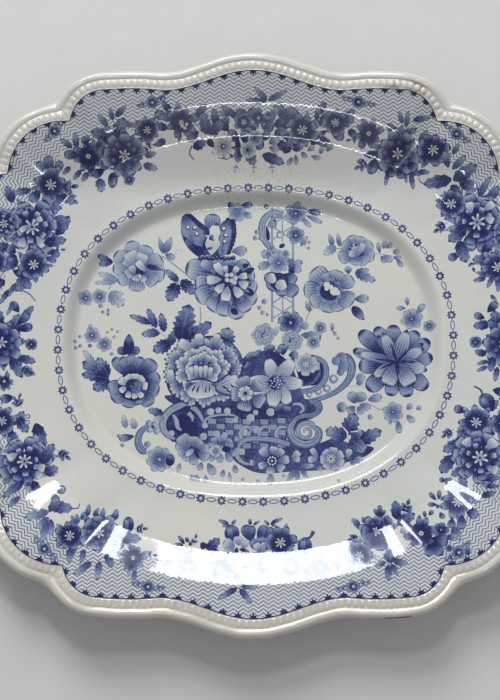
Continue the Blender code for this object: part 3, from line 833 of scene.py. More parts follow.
def right_flowers():
    """The pale flowers, sprays and leaves at upper and lower right."""
    petals(PALE, (59, 54, 55.6, 62.6, 8.6), (60, 55, 62.6, 62, 8), (61, 54, 68.6, 57.6, 8),
           (61, 52, 69.6, 50, 8), (60, 51, 65, 46, 7.6), (59, 51, 58.4, 45, 7), (57, 52, 49, 49, 8.6),
           (57, 55, 51, 58.2, 7.4), vein=0.5)
    petals(PALER, (60, 51, 57, 58, 5), (60.6, 50.6, 63.4, 58.6, 3.6), (60, 50.6, 54.6, 52.6, 4.4), vein=0.3)
    sheet.petal(60.8, 50.4, 66.2, 54.8, 1.6, BLUE, SPEAR, 0)
    discs(DARK, (56.6, 56.4, 0.9), (59, 57, 0.9), (55.6, 54.4, 0.9), steps=8)
    petals(PALE, (45.6, 56.6, 43.6, 63.6, 3.4), (49.6, 56, 48.4, 64, 3), form=POINTED, vein=0.35)
    sheet.leaf(47.4, 56.4, 40.4, 51.2, 6.6, PALE, 3)
    sheet.ribbon([(52, 55), (48, 55), (44, 56.5)], [0.6, 0.5], GREY)
    petals(PALE, (72.6, 52, 71.4, 58.4, 2.8), (74.6, 54.6, 75.4, 59, 3.4), (76, 55, 79.6, 57.6, 3),
           (73, 50.6, 76, 46.6, 3.6), (74, 50.6, 79.6, 47.6, 4.2), (80, 49.4, 84.6, 49.6, 3),
           (82, 49, 85.4, 44.2, 3.2), vein=0.35)
    sheet.disc(81.8, 52.8, 1.6, PALE, stretch=1.2)
    sheet.ribbon([(70, 52), (76, 51.2), (82, 50)], [0.5, 0.4], GREY)
    # five-petal flower
    petals(PALE, (43, 33, 34.2, 43, 12), (44, 34, 42.6, 41.6, 8), (46, 34, 49.4, 42, 10.5),
           (48, 32, 57.4, 37.6, 8.6), (40, 31, 28.6, 30.6, 11), (42, 28, 32.4, 22.6, 9.6),
           (44, 28, 41.4, 17.6, 10.4), (46, 28, 49.8, 18.4, 9.4), (48, 29, 57, 23, 11), vein=0.8)
    ring_of_petals(43.6, 30.4, 1.5, 8, 11, 200, 4.4, (1.1, 0.4, 0.3), POINTED, 0.7, jitter=0.8)
    sheet.disc(43, 29.2, 4.4, DEEP, stretch=1.2, turn=-30)
    discs((0.05, 0.02, 0.6), (46.4, 30, 2.6), (48.2, 29.2, 1.6), (42.2, 33.6, 2), (42, 31.6, 1.3),
          (44.4, 32.4, 1.5), steps=10)
    sheet.petal(54.4, 40.6, 54.2, 44.6, 4.2, PALE, OVAL)
    sheet.disc(54.6, 41, 1, DARK, steps=8)
    sheet.leaf(58.2, 40.6, 70, 36, 6.4, MID, 4, 0.3)
    sheet.leaf(58.2, 40.8, 66.4, 42.6, 4.8, MID, 3, 0.3)
    sheet.petal(57.6, 25.4, 65.8, 25.8, 5.2, PALE, ROUND, 0.5, 0.05)
    sheet.petal(56.4, 21.2, 63.2, 13.4, 5.6, MID, POINTED, 0.5)
    # small flower at the well's edge
    petals(PALE, (88, 21.6, 87.6, 26.4, 2.8), (87, 20.4, 81.6, 20, 3), (88, 19.6, 89.4, 16.6, 2.4),
           vein=0.35)
    blossom(90.2, 13.8, 6.4, 15, 6, PALE, 0.2)
    sheet.petal(93, 17, 97.4, 22.6, 4, PALE)
    blossom(100, 9.8, 3.6, 0, 5, PALE, 0.3)
    # lower right pale flowers
    petals(PALE, (58, -34.6, 54.8, -28, 6.2), (59, -34, 62.6, -28.4, 6.2), (60, -35, 66.4, -37, 4.6),
           (59, -36, 62, -40.4, 5.2), (57.4, -36, 53.6, -40, 5.4), vein=0.7)
    sheet.petal(64.6, -32.6, 72.6, -30.6, 5, PALE, ROUND, 0.4, 0.05)
    sheet.disc(50, -36.6, 3, PALE)
    sheet.disc(49.2, -38, 1.4, MID, steps=9)
    sheet.disc(66, -42.2, 1.6, PALE)
    sheet.ribbon([(62, -34.5), (67, -35.5), (70.5, -37.6), (74, -38)], [0.5, 0.4], GREY)
    blossom(79, -39.4, 6.2, 40, 6, PALE, 0.2)
    petals(PALE, (86.6, -38, 89.6, -35, 3.6), (92, -38, 94.8, -36.6, 3.2), (86.6, -41, 90.6, -45.4, 4.2),
           (81.6, -44, 82.4, -51.6, 4), (78, -44, 76.6, -46.4, 2.4), vein=0.35)
    sheet.disc(60.8, -20, 2.8, PALE)
    sheet.disc(60.2, -22.8, 1.5, MID, stretch=1.3)
    sheet.ribbon([(52, -25), (58, -24.6), (66, -25.4)], [0.4, 0.4], (0.2, 0.2, 0.3))


def scrolls():
    """The scrolls behind the lily: a C with a dark throat and the long plume round it."""
    sheet.ribbon([(22.5, -33.2), (31, -33.2), (40.5, -30.8), (49, -26.2), (54.4, -20.2), (55.8, -13.6),
                  (53.2, -9), (49.6, -8.6)], [1.2, 2.6, 2.8, 3.2, 4, 5, 6, 5], (0.42, 0.44, 1), vein=0.5)
    discs((0.62, 0.36, 0.8), (50.2, -8.8, 3.6), (47, -10.2, 2.6), (51, -13.6, 3), (49.4, -16.6, 2.2),
          steps=14)
    for x, y, r in ((45.4, -20.6, 2.6), (41.6, -26, 2.3), (36.8, -27.8, 2.1), (31.6, -29.4, 1.8),
                    (27.2, -30.2, 1.6)):
        sheet.disc(x, y, r, (0.5, 0.34, 0.7), steps=12)
        sheet.disc(x + 0.2, y + 0.3, r * 0.52, (0.08, 0.08, 0.3), steps=9)
    sheet.disc(33.5, -15.5, 9, DEEP)
    sheet.ribbon([(29.5, -10.4), (34.5, -8.4), (39.6, -10.6), (41.4, -15.6), (40.2, -21.4), (35.4, -26),
                  (28, -27.6), (20, -26.8)], [2.4, 2.8, 3, 3.4, 3.6, 3.2, 2.8, 1.4], (0.36, 0.42, 1.05),
                 vein=0.5)
    sheet.ribbon([(27.6, -24.4), (33.6, -22.6), (37.2, -18), (37.8, -14.6)], [1, 2, 1.6, 0.8], BLUE)
    sheet.disc(35.4, -13, 2.9, (0.3, 0.2, 0.9), steps=14)
    ring_of_petals(30, -12.2, 1.2, 6.6, 6, 25, 5, PALER, ROUND, 0.3, 0.3)
    sheet.disc(30, -12.2, 1.9, (0.2, 0.2, 0.6))
    for angle in range(0, 360, 72):
        sheet.disc(30 + 1.2 * math.cos(math.radians(angle)), -12.2 + 1.2 * math.sin(math.radians(angle)),
                   0.35, DARK, steps=6)


def spiral(x, y, radius, turns, start, width, ink):
    """A volute: a ribbon wound round its eye."""
    points, widths = [], []
    steps = int(14 * turns)
    for index in range(steps + 1):
        share = index / steps
        angle = math.radians(start + 360 * turns * share)
        reach = radius * (1 - 0.86 * share)
        points.append((x + reach * math.cos(angle), y + reach * math.sin(angle)))
        widths.append(width * (1 - 0.72 * share))
    sheet.ribbon(points, widths, ink, vein=0.5, smooth=2)


def basket():
    """The wicker basket: dark ground, woven checks, scrolls round it and its right-hand volute."""
    sheet.patch([(-50, -45), (-44, -37), (-30, -34), (-10, -36), (10, -33), (26, -31), (34, -35), (35, -42),
                 (26, -46), (24, -54), (36, -57), (46, -54), (54, -57), (62, -58), (68, -60), (62, -65),
                 (52, -68), (40, -72), (22, -73), (4, -74), (-8, -69), (-16, -62), (-30, -57), (-46, -56)],
                SHADE, (0, -75, 0, -30), 0, EVEN)
    # woven checks
    for row in range(5):
        for column in range(10):
            x, y = -25.5 + 4.9 * column, -43 - 3.4 * row + 0.5 * math.sin(column * 0.9)
            ink = (0.34, 0.30, 0.62) if (row + column) % 2 == 0 else (0.62, 0.74, 0.85)
            corner = ((x, y), (x + 4.5, y - 0.3), (x + 4.5, y - 3.4), (x, y - 3.1))
            if (row + column) % 2 == 0:
                sheet.add(corner, (x - 4, y - 1.7, 1, 0, 13, 1.75), ink, EVEN, 0.4)
            else:
                sheet.add(corner, (x + 2.2, y + 1.4, 0, -1, 6.5, 2.3), ink, EVEN, 0.4)
    # left C-scroll with its pale tongues
    sheet.disc(-47, -47, 5.4, DEEP, stretch=1.1, turn=80)
    sheet.disc(-36, -47, 7.6, DEEP, stretch=1.2)
    pale = (0.30, 0.30, 1.05)
    sheet.ribbon([(-27.5, -46.5), (-29.6, -41.6), (-33, -37.4), (-38.2, -35.2), (-45.2, -37.4),
                  (-50, -42.2), (-50.8, -48), (-48.2, -52.4), (-44, -54.6)], [1.2, 2.6, 3.6, 4.4, 4.6, 4.6,
                                                                              4.4, 3.6, 1.6], pale,
                 vein=0.35)
    sheet.ribbon([(-45.2, -40.8), (-43.4, -43.8), (-42.6, -47.8), (-40.4, -49.8)], [1.6, 3, 3, 1], pale)
    sheet.ribbon([(-36.6, -39.8), (-34.4, -42.2), (-34.4, -44.8)], [3.2, 2.4, 0.8], pale)
    sheet.ribbon([(-40.6, -37.6), (-37.4, -36.6), (-36.4, -38.2)], [1, 1.4, 0.8], DEEP)
    sheet.disc(-36.4, -37, 1, DEEP, steps=8)
    sheet.ribbon([(-26.6, -47.6), (-27.6, -45), (-25, -42.4), (-19, -41), (-12, -41), (-8.2, -42.8)],
                 [3, 2, 1.6, 1.5, 1.6, 0.8], pale)
    discs((0.3, 0.2, 0.85), (-27.2, -47, 1.8), (-46, -51.4, 1.8), (-28, -53.2, 2.2), (-20.5, -51.6, 2),
          (-16, -52.4, 1.8), (-5.2, -50.6, 2.3), (2, -49.6, 2.2), (-10, -44, 1.6), steps=11)
    # small curled tops along the basket's middle
    for x in (-3, 7.6, 17.2):
        sheet.ribbon([(x - 3, -55.2), (x - 4.4, -51.6), (x - 2.4, -48), (x + 1.4, -48.2), (x + 1.6, -50.8)],
                     [2.8, 2.4, 2, 1.6, 1], pale)
    # top row of small flowers and knobs
    discs((0.26, 0.16, 0.85), (-24, -39.2, 2.2), (-19.6, -38.4, 1.8), (-14.6, -38.8, 2), (9.8, -39.4, 2.4),
          (-1.4, -42.6, 2.4), (1.4, -39.6, 1.6), steps=11)
    sheet.petal(17, -41, 14.5, -33.8, 7.5, BLUE, ROUND, 0.6, 0.05)
    sheet.petal(18, -41, 19.6, -35.6, 5, BLUE, ROUND, 0.6)
    # the small scroll over the volute
    sheet.ribbon([(22.6, -34.8), (26.6, -35), (28.4, -38), (26.2, -39.8)], [1.6, 2.2, 1.8, 1], pale)
    sheet.ribbon([(32, -33.4), (36.2, -34.4), (37, -38), (33.4, -41), (28, -41.4), (23.4, -43.4)],
                 [2.4, 4.4, 4, 3.4, 3.2, 2.6], (0.50, 0.46, 1.05), vein=0.5)
    # lower band and volute
    sheet.ribbon([(-8.6, -63), (-7.4, -57.4), (-2.6, -54.8), (5, -54.6), (13, -55.6), (20.4, -57.8)],
                 [1.4, 2.8, 3.2, 3.4, 3.4, 3.4], (0.30, 0.34, 1.05), vein=0.4)
    sheet.ribbon([(-8.8, -60), (-9, -64.4), (-5.6, -68), (-1, -69)], [3.4, 3, 2.2, 0.9], pale)
    sheet.disc(-6.4, -61.8, 2, (0.3, 0.2, 0.85))
    sheet.ribbon([(23.8, -43.6), (20.8, -48.6), (22.6, -54.8), (29, -57.8), (35.4, -55.6), (37, -50.4),
                  (33.6, -47.4)], [2.6, 4.6, 5, 5, 4.8, 4, 2.6], (0.30, 0.36, 1.05), vein=0.7)
    spiral(29.6, -50.6, 5.6, 1.5, 40, 3.4, (0.28, 0.34, 1.05))
    sheet.disc(29, -49.6, 1.3, (0.3, 0.2, 0.8), steps=10)


def lower_bank():
    """Flowers under the basket and on the dark ground to its right."""
    # left group
    sheet.disc(-34.5, -61.5, 6.2, DEEP)
    petals(PALE, (-36, -60, -43.8, -57.6, 6.8), (-36, -60, -41, -52.2, 8.6), (-34, -59, -33.6, -52.8, 7),
           (-33, -59.5, -28.8, -55.2, 5.4), (-37, -61, -42.2, -63.4, 5.6), (-36.5, -62, -37.6, -67.4, 6),
           (-34.5, -62.5, -33, -69.4, 5.4), (-31, -62, -24.8, -65.6, 6.8), (-31, -60, -24.4, -60, 5.2),
           vein=0.6)
    sheet.petal(-33.5, -60.5, -38.2, -64.2, 3.4, WHITE, POINTED, 0.3)
    petals((0.5, 0.22, 0.7), (-21, -57.6, -22.6, -53.6, 4.2), (-17.4, -56.6, -16.4, -52.4, 4.2),
           (-20, -59, -17, -60.6, 3.4), (-14.4, -58, -12.8, -54.4, 3.6), (-13, -61, -9.4, -63.4, 4.2),
           (-15.6, -62, -12.4, -67.6, 4.2), (-19.4, -62, -18.2, -68, 4.6), (-22.6, -62, -23.6, -67.4, 4.2),
           (-25.6, -68, -22, -74.8, 5), (-28.8, -67.6, -30.6, -72.4, 4.2), (-10.6, -69, -9.6, -73.8, 3.6),
           (-16.4, -71.8, -17.6, -76.2, 3), vein=0.5)
    sheet.disc(-15.2, -60.4, 1.9, DEEP, stretch=1.3)
    blossom(-21, -61.4, 3.6, 0, 5, PALER, 0.3)
    petals(PALER, (-41, -68, -42.4, -73.4, 3), (-35, -74.6, -33.4, -78.6, 3.4),
           (-32.4, -74.6, -30.8, -79, 3.6), (-26.8, -75, -26.4, -79.6, 3), (-13.6, -73, -12.8, -78.4, 2.2),
           (10, -74, 9.6, -80.6, 4.6), vein=0.3)
    discs(PALER, (2.8, -78.4, 1.1), (-5.8, -77.4, 1.1), (48, -78.6, 1.1), (17.2, -75.4, 1.1), steps=9)
    # rosette at far left
    ring_of_petals(-52.6, -66.2, 0.5, 7.6, 8, 12, 5.2, PALE, ROUND, 0.7, 0.4)
    sheet.disc(-46.6, -66.6, 2.6, DARK, stretch=1.3, turn=80)
    # crescent scroll and its sprays
    sheet.ribbon([(-55.4, -47.4), (-60.2, -48), (-64, -51.6), (-64.8, -56.8), (-62.6, -61), (-59.8, -61.6)],
                 [1.4, 2.8, 3.8, 4.2, 4.4, 3.2], (0.42, 0.42, 0.95), vein=0.5)
    sheet.disc(-59.6, -57.8, 1.9, PALE)
    for x, y in ((-58.4, -49), (-54.4, -50), (-58.6, -46), (-55.6, -46.6)):
        sheet.disc(x, y, 2.2, PALE)
        sheet.disc(x, y, 1.2, PALER, steps=9)
    sheet.disc(-56.6, -47.8, 0.9, DEEP, steps=8)
    leaves(PALE, (-71.6, -48.6, -73.4, -41, 4.6), (-66.6, -49.2, -68.2, -42.8, 5), depth=0.24)
    sheet.petal(-66.8, -53, -75.6, -54.6, 4.4, MID, ROUND, 0.4)
    discs(PALE, (-73.6, -58.2, 1.2), (-75.6, -53, 1.2), steps=9)
    sheet.leaf(-50.6, -40.6, -59.4, -38, 5.6, BLUE, 3)
    sheet.leaf(-50, -42.6, -56.4, -43.4, 4, PALE, 3)
    # flower under the basket
    petals((0.5, 0.1, 0.85), (9, -65, 4, -59.6, 5.4), (11, -64.6, 11.8, -58.4, 5),
           (12.6, -65, 17, -60.2, 4.8), (13.6, -67, 20.6, -66, 5.2), (13, -69, 17.2, -72.4, 5.2),
           (10.4, -69, 9.2, -75, 5.4), (8.4, -68.6, 2.6, -70.2, 4.4), (1.6, -68, -2, -68, 3.8), vein=0.6)
    dotted_heart(10.6, -67, 3.6, SOLID, 9)
    petals((0.4, 0.1, 0.85), (21.6, -66, 26.2, -61.6, 4.2), (21.6, -66, 26.6, -66.2, 3.4), vein=0.35)
    # flower to its right
    ring_of_petals(44.4, -66, 1, 7.2, 7, 30, 5.4, (0.5, 0.1, 0.85), ROUND, 0.5, 0.4)
    sheet.disc(43.8, -65.8, 2.6, (0.15, 0.15, 0.5))
    for angle in range(0, 360, 45):
        sheet.disc(43.8 + 1.9 * math.cos(math.radians(angle)), -65.8 + 1.9 * math.sin(math.radians(angle)),
                   0.4, DARK, steps=6)
    sheet.disc(43.8, -65.8, 0.8, BLUE, steps=8)
    petals((0.4, 0.12, 0.85), (36.4, -65.4, 32.4, -59.6, 3.6), (36.4, -65.8, 30.4, -66.4, 4),
           (53, -65.6, 54.4, -60, 4), vein=0.35)
    sheet.disc(59.4, -66.6, 2.4, PALE)
    petals(PALE, (24, -71.6, 18.8, -78.6, 3.8), (26, -70.8, 34.6, -69.4, 3.4), (25, -72, 24.6, -79, 3),
           (27, -72, 30.6, -76.4, 3), (36, -69.4, 38.6, -73, 3), (55, -66.6, 57.4, -70.4, 3), form=POINTED,
           vein=0.6)
    # dark leaves over the ground at right
    sheet.leaf(52.4, -52.6, 57.6, -39.8, 10.6, DARK, 4)
    sheet.leaf(52.8, -53.8, 40.6, -49.6, 9.4, BLUE, 4)
    sheet.leaf(58, -57, 72.4, -49.6, 8.8, DARK, 4)
    sheet.leaf(54, -55, 64, -61.6, 8.8, BLUE, 4)
    sheet.leaf(55, -54, 62, -49.6, 5.6, BLUE, 3)
    sheet.ribbon([(50.6, -47.8), (53, -51), (53.4, -55.2)], [0.8, 1.3, 0.6], (0.05, 0.05, 0.7))
    sheet.ribbon([(54.6, -50.6), (58.6, -50.2), (61.4, -48.4)], [0.5, 1, 0.4], (0.03, 0.03, 0.4))


def flowers_above():
    """The small flowers that climb over the well's top edge."""
    blossom(-9.4, 76, 5.6, 10, 5, PALE, 0.15)
    sheet.petal(-5.5, 76.4, -1.2, 72.8, 4.2, PALE)
    sheet.petal(-7, 80, -0.4, 80.4, 3.6, MID)
    discs(MID, (-13, 80.2, 1.8), (7.6, 79.6, 1.4))


def centre():
    """The whole scene in the well, from back to front."""
    trellis()
    flowers_above()
    pale_rose()
    right_flowers()
    lotus()
    scrolls()
    dark_leaves()
    sheet.patch([(-50, -30), (-40, -37), (-20, -38), (10, -40), (28, -35), (27, -27), (21, -12), (12, -5),
                 (2, -5), (-6, -9), (-8, -22), (-30, -30)], SHADE, (0, -40, 0, 0), 0, EVEN)
    petals(MID, (0, -10, -2.6, -5.4, 6), (4, -8, 1.2, -4.6, 6), (10, -6, 8.8, -1, 7),
           (17, -7, 16.6, -0.4, 6), (20, -7, 25.6, -6.4, 5), (-2, -14, -4.6, -12, 5),
           (14, -7, 14.2, -3.2, 4.4), vein=0.5, frill=0.04)
    butterfly()
    great_flower()
    butterfly_body()
    left_flower()
    basket()
    lower_bank()
    chrysanthemum()
    lily()


# --- the rim ------------------------------------------------------------------------------------
RIM_MID = (1.10, 0.42, 1.00)
RIM_TIPPED = (1.20, 0.34, 1.10)
RIM_PALE = (0.95, 0.44, 0.95)


def sprig(x, y, turn, size=6, pairs=2, ink=RIM_PALE):
    """A little stem with leaves in pairs and one at its end."""
    c, s = math.cos(math.radians(turn)), math.sin(math.radians(turn))
    sheet.ribbon([(x, y), (x + c * size * 0.8, y + s * size * 0.8)], [0.5, 0.35], GREY)
    for pair in range(pairs):
        reach = size * (0.25 + 0.5 * pair / max(pairs, 1))
        for lean in (55, -55):
            a = math.radians(turn + lean + rng.uniform(-12, 12))
            bx, by = x + c * reach, y + s * reach
            length = size * rng.uniform(0.42, 0.55)
            sheet.petal(bx, by, bx + math.cos(a) * length, by + math.sin(a) * length, length * 0.55,
                        ink, OVAL, 0.2)
    sheet.petal(x + c * size * 0.72, y + s * size * 0.72, x + c * size * 1.2, y + s * size * 1.2,
                size * 0.28, ink, OVAL, 0.2)


def bud(x0, y0, x1, y1, width):
    """A plump dark bud with a paler lapping petal and a point at its tip."""
    sheet.petal(x0, y0, x1, y1, width, DARK, (0.45, 0.5), 0.3)
    dx, dy = x1 - x0, y1 - y0
    sheet.petal(x0 + 0.05 * dx - 0.12 * dy, y0 + 0.05 * dy + 0.12 * dx, x0 + 0.86 * dx - 0.10 * dy,
                y0 + 0.86 * dy + 0.10 * dx, width * 0.42, MID, OVAL, 0.3)


def fringe(x, y, radius, count=5):
    """Leaves and petal tips that show from behind a rim flower."""
    for index in range(count):
        angle = 2 * math.pi * (index + rng.uniform(-0.35, 0.35)) / count
        reach = radius * rng.uniform(1.02, 1.30)
        c, s = math.cos(angle), math.sin(angle)
        ink = (DARK, RIM_PALE, DARK, MID)[rng.randrange(4)]
        sheet.leaf(x + 0.5 * radius * c, y + 0.5 * radius * s, x + reach * c, y + reach * s,
                   radius * rng.uniform(0.26, 0.40), ink, 2, 0.14)


def rim_daisy(x, y, radius, turn=0.0):
    """A rim flower: parted pointed petals over dark ones, and a small white star."""
    fringe(x, y, radius)
    rings_of_petals(
        x, y, radius, turn,
        (0.2, 0.88, 8, 22, 0.34, DARK, POINTED, 0.3, 0.8),
        (0.1, 1, 8, 0, 0.52, RIM_TIPPED, (0.75, 0.60), 0.8, 1.0),
        (0.1, 0.62, 8, 22, 0.26, DEEP, POINTED, 0.0, 0.6),
        (0.04, 0.34, 7, 8, 0.10, WHITE, STRAP, 0.0, 0.8),
    )
    sheet.disc(x, y, 0.09 * radius, (0.3, 0.3, 0.9), steps=8)


def rim_eye(x, y, radius, turn=0.0, count=8):
    """A rim flower: parted dark petals round a small pale ringed eye."""
    fringe(x, y, radius, 4)
    rings_of_petals(
        x, y, radius, turn,
        (0.12, 1, count, 0, 0.46, RIM_MID, (0.70, 0.62), 0.7, 1.0),
        (0.1, 0.68, count, 22, 0.30, DEEP, POINTED, 0.0, 0.7),
    )
    sheet.disc(x, y, 0.22 * radius, (1.0, 1.0, 1.1), steps=11)
    sheet.disc(x, y, 0.14 * radius, (0.12, 0.12, 0.4), steps=10)
    sheet.disc(x, y, 0.06 * radius, (0.8, 0.8, 0.9), steps=7)


def rim_mum(x, y, radius, turn=0.0):
    """A rim chrysanthemum: pale folded straps with dark hollows round a white star."""
    fringe(x, y, radius, 6)
    rings_of_petals(
        x, y, radius, turn,
        (0.35, 1, 11, 0, 0.46, (1.16, 0.22, 1.08), (0.72, 0.52), 0.9, 1.2),
        (0.30, 0.80, 10, 16, 0.34, (1.20, 0.34, 1.08), (0.72, 0.50), 0.8, 1.1),
        (0.20, 0.64, 11, 0, 0.20, DEEP, POINTED, 0.0, 0.7),
    )
    sheet.disc(x, y, 0.36 * radius, DEEP, steps=16)
    rings_of_petals(
        x, y, radius, turn,
        (0.26, 0.58, 7, 6, 0.22, (0.90, 0.08, 0.95), ROUND, 0.5, 1.1),
        (0.04, 0.30, 7, 20, 0.09, WHITE, STRAP, 0.0, 0.8),
    )


def rim_dahlia(x, y, radius, turn=0.0):
    """A rim dahlia: large pale-tipped petals that darken to a small white star."""
    fringe(x, y, radius, 5)
    rings_of_petals(
        x, y, radius, turn,
        (0.2, 0.90, 9, 20, 0.36, (1.1, 0.62, 1.0), POINTED, 0.5, 0.9),
        (0.12, 1, 9, 0, 0.50, (1.20, 0.24, 1.10), (0.74, 0.60), 0.9, 1.1),
        (0.1, 0.64, 8, 20, 0.27, (1.15, 0.55, 1.0), POINTED, 0.6, 0.9),
    )
    sheet.disc(x, y, 0.20 * radius, DEEP, steps=12)
    rings_of_petals(x, y, radius, turn, (0.03, 0.26, 6, 12, 0.09, WHITE, STRAP, 0.0, 0.8))


def lace(x, y, turn, span=11):
    """An openwork rosette with little petals to either side, laid on the zigzag."""
    c, s = math.cos(math.radians(turn)), math.sin(math.radians(turn))
    for step in (-1, -0.62, 0.62, 1):
        cx, cy = x + c * step * span * 0.5, y + s * step * span * 0.5
        for lean in (40, 140):
            a = math.radians(turn + lean + rng.uniform(-20, 20))
            sheet.petal(cx, cy, cx + 3 * math.cos(a), cy + 3 * math.sin(a), 2, MID, ROUND, 0.2)
        sheet.disc(cx, cy, 1.4, (0.75, 0.6, 0.8), steps=9)
        sheet.disc(cx, cy, 0.7, (0.15, 0.15, 0.3), steps=7)
    ring_of_petals(x, y, 0.6, 3.7, 6, turn + 90, 3, MID, ROUND, 0.4)
    sheet.disc(x, y, 1.5, DARK, steps=10)
    sheet.disc(x, y, 0.75, (0.1, 0.1, 0.3), steps=8)


def top_spray():
    """The flowers of the top lobe."""
    leaves(DARK, (-49, 122, -56.5, 124.6, 5.4), (-47, 131, -52, 137, 5), (-33, 127, -27, 136, 6),
           (-20, 122, -13.6, 128.6, 6), (-21, 124, -22.6, 133.6, 5.6), (12, 124, 20.4, 127.6, 6.6),
           (18, 122, 22.6, 131.6, 6.2), (37, 130, 41.4, 137, 5), (34, 119, 41, 112.6, 5.6),
           (52, 127, 58, 132.6, 5.2), (-50, 116, -56, 112.6, 5), (12, 119, 18.6, 122.4, 5.4),
           (38, 118, 45.6, 110.6, 5.6), (54, 121, 60, 117.6, 5))
    petals(RIM_MID, (-20, 119, -26.4, 124, 6), (-14, 121, -19.4, 127.2, 6.4), (19, 127, 25.6, 132.4, 6),
           (37, 124, 44.4, 130.4, 6), (-31, 121, -37.6, 116, 5.6), (-49, 127, -56, 131, 5.6),
           (12, 130, 15.6, 136.4, 5.4), (20, 113, 27.4, 116.6, 5.8), (33, 113, 37.6, 118.4, 5))
    leaves(MID, (8, 138, 0.5, 145.8, 4.2), (8.5, 138, 19.6, 143.6, 4.4))
    leaves(RIM_PALE, (7.6, 137.4, -4.4, 138.4, 4))
    # back leaves and sprigs
    leaves(RIM_PALE, (-44, 127, -55, 128.6, 4.4), (-8, 128, -18.4, 135, 4.6), (36, 126.5, 37.6, 135.2, 3.6))
    leaves(MID, (9, 129, 14.6, 134.2, 4.4), (-13, 130, -20, 131.4, 4))
    leaves(DARK, (-26.4, 119, -29, 132, 7.4), (-25.4, 119, -16.8, 127, 6.4), (16, 128, 23.4, 134, 6.4),
           (-34.4, 111.4, -27, 115.6, 6.4), (5.2, 108, 18, 102.8, 7.2), (16, 128, 16.4, 136.2, 4.4))
    sheet.ribbon([(-35, 113), (-36.4, 108.4), (-33.6, 104.6)], [0.9, 0.6], MID)
    sprig(38, 124, 60, 5.5, 1)
    petals(RIM_MID, (28, 122, 38.6, 125.6, 5), (44, 122, 51.6, 116.2, 5.4), (42, 121, 37.4, 118.6, 3.4))
    # dark mass with its flowers
    petals(DARK, (-2, 126, -10.4, 131.4, 8.6), (2, 124, -5.6, 120, 8), (4, 126, -2.2, 133.4, 6.6),
           (4, 126, 11.8, 122.4, 7.4), (5, 128, 12.6, 129.4, 6))
    rim_eye(3, 128.4, 5.6, 10, 6)
    rim_daisy(-5.4, 126, 5.6, 30)
    rim_eye(-41, 125.6, 9.4, 20)
    discs((0.1, 0.1, 0.5), (-40.6, 123.8, 1), (-39, 122.6, 1), (-38, 124.6, 1), steps=8)
    rim_daisy(28.2, 121.6, 9.4, 12)
    rim_daisy(47, 125.4, 7.6, 40)
    petals(RIM_PALE, (50.6, 126.2, 57.6, 127.4, 5))
    # lower row
    leaves(DARK, (-3, 110, 0.6, 101.8, 6.8), (-8, 112, -18.4, 105.6, 6.4), (-8, 111, -9, 103.4, 5.4),
           (14, 116, 20.4, 109, 6.4))
    petals(RIM_MID, (-7, 112, -13.4, 117, 6.4), (-5, 110, -12.6, 108.6, 6), (-3, 114, 6.4, 113.6, 6.4),
           (-5, 114, -4, 121.6, 6.4), (-8, 116, -14, 121.4, 5.6), (4, 116, 9.4, 120.4, 5),
           (20, 116, 17, 121.6, 5))
    ring_of_petals(-17, 112.6, 0.8, 7.6, 9, 10, 3.4, WHITE, STRAP, 0.2, 0.5)
    sheet.disc(-17, 112.6, 1.7, DARK, steps=10)
    sheet.disc(-17, 112.6, 0.7, WHITE, steps=8)
    petals(DEEP, (-22.4, 112, -26, 116.4, 4.2))
    ring_of_petals(-2.8, 110.6, 0.6, 4.8, 6, 15, 4.4, PALER, ROUND, 0.4, 0.4)
    sheet.disc(-2.8, 110.6, 1.3, DARK, steps=9)
    ring_of_petals(1.2, 117.2, 0.6, 4.6, 6, 40, 4.2, PALE, ROUND, 0.4, 0.4)
    sheet.disc(1.2, 117.2, 1.2, DARK, steps=9)
    petals(PALE, (9, 114, 14.6, 117.6, 5.4), (9, 112, 14.6, 110.6, 4.4), (22.6, 106.6, 19.6, 101.8, 3.2),
           (24.4, 108, 24.6, 102.2, 3), (27.6, 109.6, 30.4, 106, 3.4), (31, 110, 35, 112.6, 3.6),
           (33, 107, 38.6, 105.6, 3.2), (38, 108, 40.2, 112.2, 3.2), (42, 109.4, 45, 114.4, 4.2))
    leaves(DARK, (17.8, 108.6, 21.8, 116.6, 6.6), (22.6, 110.6, 29, 112.6, 4.4))
    sprig(-9.4, 102.6, 255, 4.6, 1, PALER)
    sprig(0.6, 102.4, 265, 4.6, 1, PALER)
    sprig(10.4, 102.4, 280, 4.4, 1, PALER)
    sheet.ribbon([(-37, 128), (-33, 125), (-29, 120)], [0.6, 0.5], MID)


